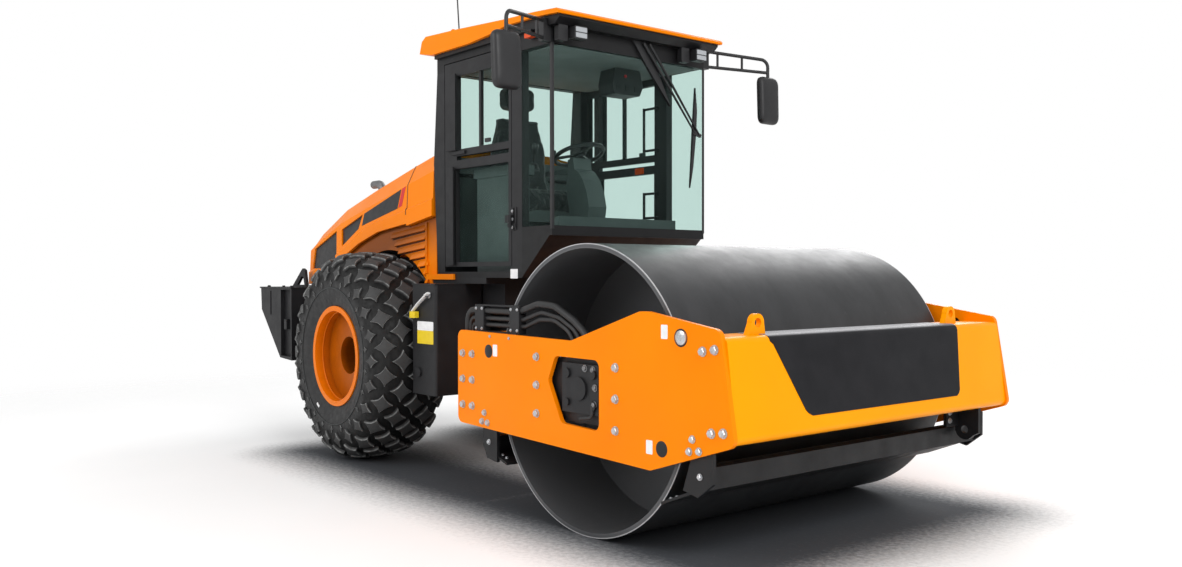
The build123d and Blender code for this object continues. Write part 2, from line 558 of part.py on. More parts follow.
with BuildPart() as cowl:
    loft(sections=[hood_face(*row, row[2] - COWL_BAND, 0) for row in HOOD_SECTIONS[:2]], ruled=True)
    block(AXLE_X + SEAM, AXLE_X + COWL_FRONT, -PANEL_IN + 10, PANEL_IN - 10, 1380, 1790)
    with BuildSketch(REAR):
        with Locations((0, TYRE_R)):
            Circle(ARCH_R + 20)
    extrude(amount=900, both=True, mode=Mode.SUBTRACT)
    for y in HINGE_KNUCKLE_Y:
        rod((hinge_x, y, hinge_z), (hinge_x, y + 40, hinge_z), 14)
        block(AXLE_X + SEAM + 1, AXLE_X + SEAM + 60, y, y + 40, hinge_z - 30, hinge_z)
cowl.part.label = "cowl"
export_step(cowl.part, "parts/cowl.step")

# Panel over the wheel under the hood's lip: height of each louvre at its front end
LOUVRES = (1414, 1479, 1542, 1605, 1668)
LOUVRE_FALL = 0.10  # louvres drop towards the rear
LOUVRE_FRONT = 480.0
LOUVRE_SECTION = ((-2, 0), (14, 4), (11, 16), (-2, 46))  # outwards from the panel, above the louvre's foot
for side, sy in SIDES:
    with BuildPart() as side_panel:
        with BuildSketch(REAR.offset(-sy * (PANEL_IN + PANEL_OUT) / 2)):
            with BuildLine():
                Polyline((COWL_FRONT, CAB_FLOOR_Z + 20), (COWL_FRONT, 1770), (SEAM, 1712), (249, 1712),
                         (-114, 1670), (-383, 1600), (-593, 1520), (-700, 1484), (-700, 1200),
                         (300, CAB_FLOOR_Z + 20), close=True)
            make_face()
            with Locations((0, TYRE_R)):
                Circle(ARCH_R + 20, mode=Mode.SUBTRACT)
            with Locations((-600, 1100)):
                Rectangle(1100, 560, mode=Mode.SUBTRACT)
        extrude(amount=(PANEL_OUT - PANEL_IN) / 2, both=True)
        for z in LOUVRES:
            reach = (ARCH_R + 60) ** 2 - (z - TYRE_R) ** 2
            x0 = max(sqrt(reach) if reach > 0 else 0, 60)
            with BuildSketch(Plane.YZ.offset(AXLE_X + LOUVRE_FRONT)):
                with BuildLine():
                    Polyline(*[(sy * (PANEL_OUT + y), z + dz) for y, dz in LOUVRE_SECTION], close=True)
                make_face()
            extrude(amount=LOUVRE_FRONT - x0, dir=(-1, 0, -LOUVRE_FALL))
        block(AXLE_X + 628, AXLE_X + COWL_FRONT, sy * PANEL_IN, sy * (CAB_Y + 16), 1327, 1365)
        block(AXLE_X + COWL_FRONT, AXLE_X + 991, sy * (CAB_Y + 1), sy * (CAB_Y + 16), 1327, 1365)
        block(AXLE_X + 560, AXLE_X + 580, sy * (PANEL_OUT - 2), sy * (PANEL_OUT + 12), CAB_FLOOR_Z + 30, 1735)
    side_panel.part.label = f"side_panel_{side}"
    export_step(side_panel.part, f"parts/side_panel_{side}.step")

with BuildPart() as exhaust:
    stops = ((AXLE_X + STACK_X, STACK_Y, STACK_Z), (AXLE_X + STACK_X, STACK_Y, 2095),
             (AXLE_X + STACK_X - 150, STACK_Y, 2095))
    with BuildLine() as route:
        FilletPolyline(*stops, radius=70)
    with BuildSketch(Plane(origin=stops[0], z_dir=(0, 0, 1))):
        RegularPolygon(33, 12)
        RegularPolygon(29, 12, mode=Mode.SUBTRACT)
    sweep(path=route.line)
exhaust.part.label = "exhaust"
export_step(exhaust.part, "parts/exhaust.step")

# ---------------------------------------------------------------- cab
CAB_BACK = COWL_FRONT + 65
CAB_FRONT = 2085.0
SILL_LOW = 1600.0
SILL_HIGH = 1640.0
GLASS_LOW = 1660.0
FLOOR_TOP = CAB_FLOOR_Z + 40
HEAD_Z = 2760.0
POST_X = 1775.0  # front edge of the post ahead of the door
DOOR_FRONT = 1660.0
DOOR_BACK = 865.0
DOOR_LOW = 1415.0
DOOR_HIGH = 2806.0  # the door closes over the header's edge
DOOR_T = 36.0
WALL = 25.0
PANE = 6.0
DECK_BACK = COWL_FRONT

with BuildPart() as deck:
    block(AXLE_X + DECK_BACK, HITCH_X - 190, -CAB_Y, CAB_Y, DECK_Z, CAB_FLOOR_Z)
deck.part.label = "deck"
export_step(deck.part, "parts/deck.step")

with BuildPart() as cab_floor:
    with BuildSketch(REAR):
        with BuildLine():
            Polyline((CAB_BACK, CAB_FLOOR_Z), (POST_X - 5, CAB_FLOOR_Z), (CAB_FRONT - 25, SILL_LOW),
                     (CAB_FRONT, SILL_LOW), (CAB_FRONT, SILL_HIGH), (CAB_FRONT - 40, SILL_HIGH),
                     (POST_X, FLOOR_TOP), (CAB_BACK, FLOOR_TOP), close=True)
        make_face()
    extrude(amount=CAB_Y, both=True)
cab_floor.part.label = "cab_floor"
export_step(cab_floor.part, "parts/cab_floor.step")

# Posts: side outline, inner and outer y. The rear post is bent outwards at the door's middle rail.
POSTS = ((((CAB_BACK, FLOOR_TOP), (DOOR_BACK - GAP, FLOOR_TOP), (DOOR_BACK - GAP, HEAD_Z), (CAB_BACK, HEAD_Z),
           (CAB_BACK - 50, 2140)), CAB_Y - 90, CAB_Y),
         (((DOOR_FRONT + GAP, FLOOR_TOP), (POST_X, FLOOR_TOP), (POST_X, HEAD_Z), (DOOR_FRONT + GAP, HEAD_Z)),
          CAB_Y - 55, CAB_Y))
HANDLE_Y = CAB_Y - 80
HANDLES = ((2230, 2544), (1751, 1943))
with BuildPart() as cab_posts:
    for sy in (-1, 1):
        for outline, y0, y1 in POSTS:
            with BuildSketch(REAR.offset(-sy * (y0 + y1) / 2)):
                with BuildLine():
                    Polyline(*outline, close=True)
                make_face()
            extrude(amount=(y1 - y0) / 2, both=True)
        for z0, z1 in HANDLES:
            grip_x = AXLE_X + DOOR_FRONT - 90
            root_x = AXLE_X + DOOR_FRONT + 30
            rod((grip_x, sy * HANDLE_Y, z0), (grip_x, sy * HANDLE_Y, z1), 10)
            for z in (z0 + 10, z1 - 10):
                rod((grip_x, sy * HANDLE_Y, z), (root_x, sy * HANDLE_Y, z), 9)
                rod((root_x, sy * HANDLE_Y, z), (root_x, sy * (CAB_Y - 50), z), 12)
cab_posts.part.label = "cab_posts"
export_step(cab_posts.part, "parts/cab_posts.step")

with BuildPart() as cab_header:
    block(AXLE_X + CAB_BACK, AXLE_X + CAB_FRONT, -CAB_Y, CAB_Y, HEAD_Z, CAB_TOP_Z)
    block(AXLE_X + CAB_BACK + 70, AXLE_X + CAB_FRONT - 70, -CAB_Y + 60, CAB_Y - 60, HEAD_Z, CAB_TOP_Z,
          Mode.SUBTRACT)
    for sy in (-1, 1):
        block(AXLE_X + DOOR_BACK - GAP, AXLE_X + DOOR_FRONT + GAP, sy * (CAB_Y - DOOR_T - GAP), sy * CAB_Y,
              HEAD_Z, DOOR_HIGH + GAP, Mode.SUBTRACT)
cab_header.part.label = "cab_header"
export_step(cab_header.part, "parts/cab_header.step")

# Lower walls: sill strip, side walls under the quarter panes, rear wall
with BuildPart() as cab_panels:
    block(AXLE_X + CAB_FRONT - WALL, AXLE_X + CAB_FRONT, -CAB_Y + WALL, CAB_Y - WALL, SILL_HIGH, GLASS_LOW)
    block(AXLE_X + CAB_BACK, AXLE_X + CAB_BACK + WALL, -CAB_Y + 90, CAB_Y - 90, FLOOR_TOP, 2130)
    for sy in (-1, 1):
        with BuildSketch(REAR.offset(-sy * (CAB_Y - WALL / 2))):
            with BuildLine():
                Polyline((POST_X, FLOOR_TOP), (CAB_FRONT - 40, SILL_HIGH), (CAB_FRONT, SILL_HIGH),
                         (CAB_FRONT, GLASS_LOW), (POST_X, GLASS_LOW), close=True)
            make_face()
        extrude(amount=WALL / 2, both=True)
cab_panels.part.label = "cab_panels"
export_step(cab_panels.part, "parts/cab_panels.step")

# Panes meet edge to edge at the front corners.
with BuildPart() as cab_glass:
    block(AXLE_X + CAB_FRONT - PANE - 2, AXLE_X + CAB_FRONT - 2, -CAB_Y + 3, CAB_Y - 3, GLASS_LOW, HEAD_Z)
    block(AXLE_X + CAB_BACK + 8, AXLE_X + CAB_BACK + 8 + PANE, -CAB_Y + 90, CAB_Y - 90, 2130, HEAD_Z)
    for sy in (-1, 1):
        block(AXLE_X + POST_X, AXLE_X + CAB_FRONT - PANE - 2, sy * (CAB_Y - 3 - PANE), sy * (CAB_Y - 3),
              GLASS_LOW, HEAD_Z)
cab_glass.part.label = "cab_glass"
export_step(cab_glass.part, "parts/cab_glass.step")

# Doors hang on their front edges.
HINGE_X = DOOR_FRONT + 6
HINGE_Y = CAB_Y + 18
HINGE_Z = (1715, 2640)
# Door windows: low and high edge, rear and front edge. The first one slides and has a middle bar.
# The next is a slit in the middle rail, and two narrow panes stand behind the rear stile.
UPPER_WINDOW = (2212.0, 2708.0, 1016.0, 1632.0)
WINDOWS = (UPPER_WINDOW, (2138, 2166, 1016, 1632), (1445, 2080, 1000, 1628), (2212, 2708, 897, 958),
           (1445, 2080, 897, 958))
MULLION_X = 1290.0

for side, sy in SIDES:
    with BuildPart() as door_frame:
        block(AXLE_X + DOOR_BACK, AXLE_X + DOOR_FRONT, sy * (CAB_Y - DOOR_T), sy * CAB_Y, DOOR_LOW, DOOR_HIGH)
        for z0, z1, x0, x1 in WINDOWS:
            block(AXLE_X + x0, AXLE_X + x1, sy * (CAB_Y - 50), sy * (CAB_Y + 5), z0, z1, Mode.SUBTRACT)
        block(AXLE_X + MULLION_X - 12, AXLE_X + MULLION_X + 12, sy * (CAB_Y - 30), sy * (CAB_Y - 8),
              UPPER_WINDOW[0], UPPER_WINDOW[1])
        block(AXLE_X + 970, AXLE_X + 1130, sy * CAB_Y, sy * (CAB_Y + 14), 2176, 2198)
        for z in HINGE_Z:
            block(AXLE_X + DOOR_FRONT - 60, AXLE_X + HINGE_X, sy * CAB_Y, sy * (CAB_Y + 10), z - 25, z + 25)
            rod((AXLE_X + HINGE_X, sy * HINGE_Y, z - 25), (AXLE_X + HINGE_X, sy * HINGE_Y, z + 25), 15)
            rod((AXLE_X + HINGE_X, sy * HINGE_Y, z - 25), (AXLE_X + HINGE_X, sy * HINGE_Y, z + 25), 8 + RUN,
                Mode.SUBTRACT)
    door_frame.part.label = f"door_frame_{side}"
    export_step(door_frame.part, f"parts/door_frame_{side}.step")
    with BuildPart() as door_glass:
        for z0, z1, x0, x1 in WINDOWS:
            block(AXLE_X + x0, AXLE_X + x1, sy * (CAB_Y - 36), sy * (CAB_Y - 31), z0, z1)
    door_glass.part.label = f"door_glass_{side}"
    export_step(door_glass.part, f"parts/door_glass_{side}.step")

with BuildPart() as hinge_posts:
    for sy in (-1, 1):
        for z in HINGE_Z:
            rod((AXLE_X + HINGE_X, sy * HINGE_Y, z - 55), (AXLE_X + HINGE_X, sy * HINGE_Y, z + 25), 8)
            rod((AXLE_X + HINGE_X, sy * HINGE_Y, z - 55), (AXLE_X + HINGE_X, sy * HINGE_Y, z - 31), 15)
            block(AXLE_X + HINGE_X + 5, AXLE_X + POST_X - 60, sy * CAB_Y, sy * (CAB_Y + 10), z - 55, z - 31)
            block(AXLE_X + POST_X - 85, AXLE_X + POST_X - 55, sy * CAB_Y, sy * (CAB_Y + 6), z - 70, z + 70)
hinge_posts.part.label = "hinge_posts"
export_step(hinge_posts.part, "parts/hinge_posts.step")

# ---------------------------------------------------------------- roof
ROOF_BACK = 610.0
ROOF_FRONT = 2215.0
ROOF_Y = 700.0
UNDER_REAR = CAB_TOP_Z + 28  # underside of the roof over the rear half
UNDER_FRONT = CAB_TOP_Z + 50  # and over the front half
ROOF_TOP = UNDER_REAR + 140
ROOF_LINE = ((ROOF_BACK, UNDER_REAR + 30), (ROOF_BACK + 30, UNDER_REAR + 112), (ROOF_BACK + 83, ROOF_TOP),
             (1117, ROOF_TOP - 22), (1655, ROOF_TOP - 58), (1980, ROOF_TOP - 73),
             (ROOF_FRONT - 16, ROOF_TOP - 90), (ROOF_FRONT, ROOF_TOP - 104))
# The roof's underside, from the front rearwards
ROOF_UNDER = ((1980, UNDER_FRONT + 14), (1680, UNDER_FRONT + 18), (1480, UNDER_REAR + 16), (1240, UNDER_REAR),
              (770, UNDER_REAR))
ROOF_EYES = ((830, 560, 12), (1690, 480, -34))  # x, y, height over the crown's reference
with BuildPart() as roof:
    with BuildSketch(REAR):
        with BuildLine():
            Polyline(*ROOF_LINE, (ROOF_FRONT - 5, UNDER_FRONT), *ROOF_UNDER, close=True)
        make_face()
    extrude(amount=ROOF_Y, both=True)
    with BuildSketch(REAR):
        with BuildLine():
            Polyline((720, ROOF_TOP - 20), (760, ROOF_TOP + 8), (1117, ROOF_TOP - 4), (1655, ROOF_TOP - 38),
                     (1940, ROOF_TOP - 56), (2000, ROOF_TOP - 78), close=True)
        make_face()
    extrude(amount=ROOF_Y - 110, both=True)
    for x, y, dz in ROOF_EYES:
        for sy in (-1, 1):
            with BuildSketch(REAR.offset(-sy * y)):
                with Locations((x, ROOF_TOP + dz)):
                    RegularPolygon(38, 12)
                    RegularPolygon(26, 12, mode=Mode.SUBTRACT)
            extrude(amount=5, both=True)
roof.part.label = "roof"
export_step(roof.part, "parts/roof.step")

with BuildPart() as roof_lining:
    with BuildSketch(REAR):
        with BuildLine():
            Polyline((770, CAB_TOP_Z), (2150, CAB_TOP_Z), (2195, CAB_TOP_Z + 35), (2195, UNDER_FRONT),
                     *ROOF_UNDER, close=True)
        make_face()
    extrude(amount=ROOF_Y - 25, both=True)
roof_lining.part.label = "roof_lining"
export_step(roof_lining.part, "parts/roof_lining.step")

# ---------------------------------------------------------------- fittings outside the cab
# Mirrors: each hangs on two tubes joined by rungs, from the cab's front corner.
MIRROR_Y = 1105.0
MIRROR_X = 2262.0
ROOT_X = CAB_FRONT - 25
ARM_ROOT = (2785.0, 2890.0)
ARM_END = (2762.0, 2848.0)
with BuildPart() as mirrors:
    for sy in (-1, 1):
        root_y = CAB_Y + 45
        for z_root, z_end in zip(ARM_ROOT, ARM_END):
            rod((AXLE_X + ROOT_X, sy * root_y, z_root), (AXLE_X + MIRROR_X, sy * MIRROR_Y, z_end), 11)
        for t in (0.25, 0.5):
            x = AXLE_X + ROOT_X + t * (MIRROR_X - ROOT_X)
            y = sy * (root_y + t * (MIRROR_Y - root_y))
            foot, head = (root + t * (end - root) for root, end in zip(ARM_ROOT, ARM_END))
            rod((x, y, foot), (x, y, head), 8)
        for y0, z0, z1 in ((CAB_Y, ARM_ROOT[0] - 20, CAB_TOP_Z - 2),
                           (ROOF_Y - 23, CAB_TOP_Z - 2, ARM_ROOT[1] + 12)):
            block(AXLE_X + ROOT_X - 30, AXLE_X + ROOT_X + 20, sy * y0, sy * (root_y + 12), z0, z1)
        rod((AXLE_X + MIRROR_X, sy * MIRROR_Y, 2690), (AXLE_X + MIRROR_X, sy * MIRROR_Y, ARM_END[1] + 20), 14)
        with BuildSketch(Plane.YZ.offset(AXLE_X + MIRROR_X - 20)):
            with Locations((sy * MIRROR_Y, 2572)):
                RectangleRounded(192, 305, 50)
        extrude(amount=45, taper=12)
mirrors.part.label = "mirrors"
export_step(mirrors.part, "parts/mirrors.step")

# Work lamps under the roof's front edge: y of the middle
LAMP_X = 2175.0
LAMP_Y = (-513, 513)
with BuildPart() as work_lamps:
    for y in LAMP_Y:
        block(AXLE_X + LAMP_X - 30, AXLE_X + LAMP_X + 30, y - 50, y + 50, CAB_TOP_Z - 84, CAB_TOP_Z - 2)
        block(AXLE_X + LAMP_X - 40, AXLE_X + LAMP_X - 25, y - 20, y + 20, CAB_TOP_Z - 20, CAB_TOP_Z)
work_lamps.part.label = "work_lamps"
export_step(work_lamps.part, "parts/work_lamps.step")

# Wiper: motor cover, two arms side by side and the blade
WIPER_X = CAB_FRONT + 12
with BuildPart() as wiper:
    with BuildSketch(Plane.YZ.offset(AXLE_X + CAB_FRONT)):
        with BuildLine():
            Polyline((30, 2800), (215, 2800), (262, 2600), (306, 2484), (130, 2640), close=True)
        make_face()
    extrude(amount=28)
    rod((AXLE_X + WIPER_X, 150, 2700), (AXLE_X + WIPER_X, 560, 2335), 6)
    rod((AXLE_X + WIPER_X, 200, 2720), (AXLE_X + WIPER_X, 622, 2300), 6)
    block(AXLE_X + WIPER_X - 6, AXLE_X + WIPER_X + 6, 520, 625, 2290, 2345)
    with BuildSketch(Plane.YZ.offset(AXLE_X + CAB_FRONT + 2)):
        with BuildLine():
            Polyline((550, 2620), (566, 2620), (562, 2290), (518, 1945), (502, 1945), (545, 2290), close=True)
        make_face()
    extrude(amount=14)
wiper.part.label = "wiper"
export_step(wiper.part, "parts/wiper.step")

with BuildPart() as antenna:
    rod((AXLE_X + 815, -500, ROOF_TOP + 6.8), (AXLE_X + 815, -500, ROOF_TOP + 45), 18)
    rod((AXLE_X + 815, -500, ROOF_TOP + 40), (AXLE_X + 775, -500, ROOF_TOP + 440), 5)
antenna.part.label = "antenna"
export_step(antenna.part, "parts/antenna.step")

# ---------------------------------------------------------------- inside the cab
SEAT_X = 1130.0  # middle of the seat's frame
SEAT_Y = -120.0
SEAT_HALF = 240.0
CUSHION_LOW = 1800.0
CUSHION_HIGH = 1925.0
BACK_HIGH = HEAD_Z - 270
seat_mid = AXLE_X + SEAT_X
# Seat frame: x from and to, half width, z from and to, measured from the seat's middle
SEAT_FRAME = (
    (-200, 200, 200, FLOOR_TOP, FLOOR_TOP + 120),
    (-150, 150, 150, FLOOR_TOP + 120, CUSHION_LOW - 80),
    (-210, 230, 225, CUSHION_LOW - 80, CUSHION_LOW),
    (-260, -205, 90, CUSHION_LOW - 80, BACK_HIGH - 120),
    (-190, -150, SEAT_HALF + 5, CUSHION_LOW - 60, CUSHION_LOW - 30),
)
ARMREST_Z = 2080.0
with BuildPart() as seat_base:
    for x0, x1, half, z0, z1 in SEAT_FRAME:
        block(seat_mid + x0, seat_mid + x1, SEAT_Y - half, SEAT_Y + half, z0, z1)
    for y in (SEAT_Y - SEAT_HALF - 35, SEAT_Y + SEAT_HALF + 5):
        block(seat_mid - 190, seat_mid + 150, y, y + 30, ARMREST_Z, ARMREST_Z + 30)
        block(seat_mid - 190, seat_mid - 150, y, y + 30, CUSHION_LOW - 60, ARMREST_Z)
seat_base.part.label = "seat_base"
export_step(seat_base.part, "parts/seat_base.step")

with BuildPart() as seat_cushion:
    block(seat_mid - 200, seat_mid + 270, SEAT_Y - SEAT_HALF, SEAT_Y + SEAT_HALF, CUSHION_LOW, CUSHION_HIGH)
    fillet(seat_cushion.edges().filter_by(Axis.Z), 60)
seat_cushion.part.label = "seat_cushion"
export_step(seat_cushion.part, "parts/seat_cushion.step")

# The back leans rearwards and narrows towards the top.
with BuildPart() as seat_back:
    with BuildSketch(REAR.offset(-SEAT_Y)):
        with BuildLine():
            Polyline((SEAT_X - 200, CUSHION_HIGH + 4), (SEAT_X - 70, CUSHION_HIGH + 4), (SEAT_X - 80, 2150),
                     (SEAT_X - 110, BACK_HIGH), (SEAT_X - 200, BACK_HIGH), close=True)
        make_face()
    extrude(amount=SEAT_HALF - 5, both=True)
    with BuildSketch(Plane.YZ.offset(seat_mid)):
        with BuildLine():
            Polyline((SEAT_Y - 245, 1900), (SEAT_Y + 245, 1900), (SEAT_Y + 235, 2260),
                     (SEAT_Y + 165, BACK_HIGH), (SEAT_Y - 165, BACK_HIGH), (SEAT_Y - 235, 2260), close=True)
        make_face()
    extrude(amount=400, both=True, mode=Mode.INTERSECT)
seat_back.part.label = "seat_back"
export_step(seat_back.part, "parts/seat_back.step")

with BuildPart() as headrest:
    block(seat_mid - 200, seat_mid - 105, SEAT_Y - 130, SEAT_Y + 130, BACK_HIGH + 40, BACK_HIGH + 200)
    fillet(headrest.edges().filter_by(Axis.X), 45)
    for y in (SEAT_Y - 45, SEAT_Y + 45):
        block(seat_mid - 165, seat_mid - 153, y - 6, y + 6, BACK_HIGH, BACK_HIGH + 45)
headrest.part.label = "headrest"
export_step(headrest.part, "parts/headrest.step")

# Side console with its arm top, and the low dash along the windscreen's foot
DASH_Y = (-570.0, 413.0)
with BuildPart() as console:
    block(AXLE_X + 1130, AXLE_X + 1560, -CAB_Y + 90, -CAB_Y + 215, FLOOR_TOP, 2010)
    block(AXLE_X + 1100, AXLE_X + 1600, -CAB_Y + 80, -CAB_Y + 225, 2010, 2075)
    with BuildSketch(REAR.offset(-sum(DASH_Y) / 2)):
        with BuildLine():
            slope_x = CAB_FRONT - 95
            slope_z = SILL_HIGH - (SILL_HIGH - FLOOR_TOP) * 55 / (CAB_FRONT - 40 - POST_X)
            Polyline((slope_x, slope_z), (slope_x, 1690), (slope_x + 22, 1712), (CAB_FRONT - 30, 1720),
                     (CAB_FRONT - 30, SILL_HIGH), (CAB_FRONT - 40, SILL_HIGH), close=True)
        make_face()
    extrude(amount=(DASH_Y[1] - DASH_Y[0]) / 2, both=True)
console.part.label = "console"
export_step(console.part, "parts/console.step")

# Steering column: a stalk under a rounded cowl
WHEEL = (1690.0, -120.0, 2155.0)
WHEEL_R = 165.0
with BuildPart() as steering_column:
    with BuildSketch(REAR.offset(-WHEEL[1])):
        with BuildLine():
            Polyline((1640, FLOOR_TOP), (1740, FLOOR_TOP), (1760, 1700), (1868, 1730), (1880, 1800),
                     (1856, 1900), (1812, 1985), (1766, 2034), (1728, 2055), (WHEEL[0] + 25, WHEEL[2] - 24),
                     (WHEEL[0] - 30, WHEEL[2] - 38), (1660, 2030), (1640, 1940), (1690, 1720), close=True)
        make_face()
    extrude(amount=75, both=True)
steering_column.part.label = "steering_column"
export_step(steering_column.part, "parts/steering_column.step")

WHEEL_PLANE = Plane(origin=(AXLE_X + WHEEL[0], WHEEL[1], WHEEL[2]), x_dir=(0, 1, 0), z_dir=(-0.34, 0, 0.94))
SPOKE_ANGLES = (-90, 30, 150)
with BuildPart() as steering_wheel:
    with BuildSketch(Plane(origin=WHEEL_PLANE.origin, x_dir=WHEEL_PLANE.x_dir, z_dir=-WHEEL_PLANE.y_dir)):
        with Locations((WHEEL_R, 0)):
            RegularPolygon(14, 6)
    revolve(axis=Axis(WHEEL_PLANE.origin, WHEEL_PLANE.z_dir))
    with BuildSketch(WHEEL_PLANE.offset(-4)):
        Circle(48)
        for angle in SPOKE_ANGLES:
            with Locations(Location((0, 0, 0), (0, 0, angle)) * Location((WHEEL_R / 2, 0, 0))):
                Rectangle(WHEEL_R - 8, 30)
    extrude(amount=9)
    with BuildSketch(WHEEL_PLANE.offset(-24)):
        Circle(30)
    extrude(amount=24)
    with BuildSketch(WHEEL_PLANE.offset(8)):
        with Locations(Location((0, 0, 0), (0, 0, 150)) * Location((WHEEL_R, 0, 0))):
            RegularPolygon(18, 8)
    extrude(amount=45)
steering_wheel.part.label = "steering_wheel"
export_step(steering_wheel.part, "parts/steering_wheel.step")
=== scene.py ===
import json
import math

import bmesh
import bpy
import numpy as np
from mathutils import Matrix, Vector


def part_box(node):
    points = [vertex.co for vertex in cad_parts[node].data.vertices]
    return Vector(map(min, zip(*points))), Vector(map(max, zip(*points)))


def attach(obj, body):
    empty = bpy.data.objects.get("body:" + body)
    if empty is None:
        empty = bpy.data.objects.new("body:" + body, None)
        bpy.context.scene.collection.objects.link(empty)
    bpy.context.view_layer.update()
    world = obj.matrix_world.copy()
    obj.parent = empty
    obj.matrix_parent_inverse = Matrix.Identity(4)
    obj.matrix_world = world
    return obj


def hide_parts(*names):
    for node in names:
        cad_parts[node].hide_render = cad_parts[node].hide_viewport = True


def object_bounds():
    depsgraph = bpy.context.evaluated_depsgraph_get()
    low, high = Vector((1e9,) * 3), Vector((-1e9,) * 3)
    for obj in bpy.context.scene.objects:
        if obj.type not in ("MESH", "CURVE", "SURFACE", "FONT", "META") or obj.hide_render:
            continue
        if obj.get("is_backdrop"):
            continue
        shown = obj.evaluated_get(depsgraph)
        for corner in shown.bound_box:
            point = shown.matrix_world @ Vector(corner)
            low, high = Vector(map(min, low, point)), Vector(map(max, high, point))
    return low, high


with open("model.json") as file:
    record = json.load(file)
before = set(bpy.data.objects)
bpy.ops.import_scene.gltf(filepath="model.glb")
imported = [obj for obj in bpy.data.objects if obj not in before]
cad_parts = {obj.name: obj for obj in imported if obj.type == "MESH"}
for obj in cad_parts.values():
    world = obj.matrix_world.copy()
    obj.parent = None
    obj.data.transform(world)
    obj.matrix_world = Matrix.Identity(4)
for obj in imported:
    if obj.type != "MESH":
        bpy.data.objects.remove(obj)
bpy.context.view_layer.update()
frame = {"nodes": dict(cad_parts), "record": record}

# Road roller. Metres, +X forward, +Y the machine's left, +Z up, ground at Z = 0.
DRUM_X = 1.7855
AXLE_X = -1.1245
DRUM_R = 0.762
TYRE_R = 0.765
TRACK_Y = 0.8
PLATE_Y = 1.150  # outer face of the side plates
CAB_Y = 0.650
CAB_FRONT = AXLE_X + 2.085
TANK_FACE = 0.880  # outer face of the tanks
PANEL_FACE = 0.620  # outer face of the panels over the wheels
BLOCK_FACE = 1.133  # outer face of the drum motor's block
BUMPER_TOP = 1.257  # height of the bumper's top
DOOR_SKIN = (0.664, 0.676)  # inner and outer face of the doors' frames
FILM = 0.0008  # thickness of a printed film
SIDES = (("right", -1.0), ("left", 1.0))


def front(x):
    """Distance from the drum axle, in metres, as a place along X."""
    return DRUM_X + x


def rear(x):
    """Distance from the rear axle, in metres, as a place along X."""
    return AXLE_X + x


# ------------------------------------------------------------------ materials
CLOUD = (0.3, 0.7)  # the part of a noise's range that holds most of its values


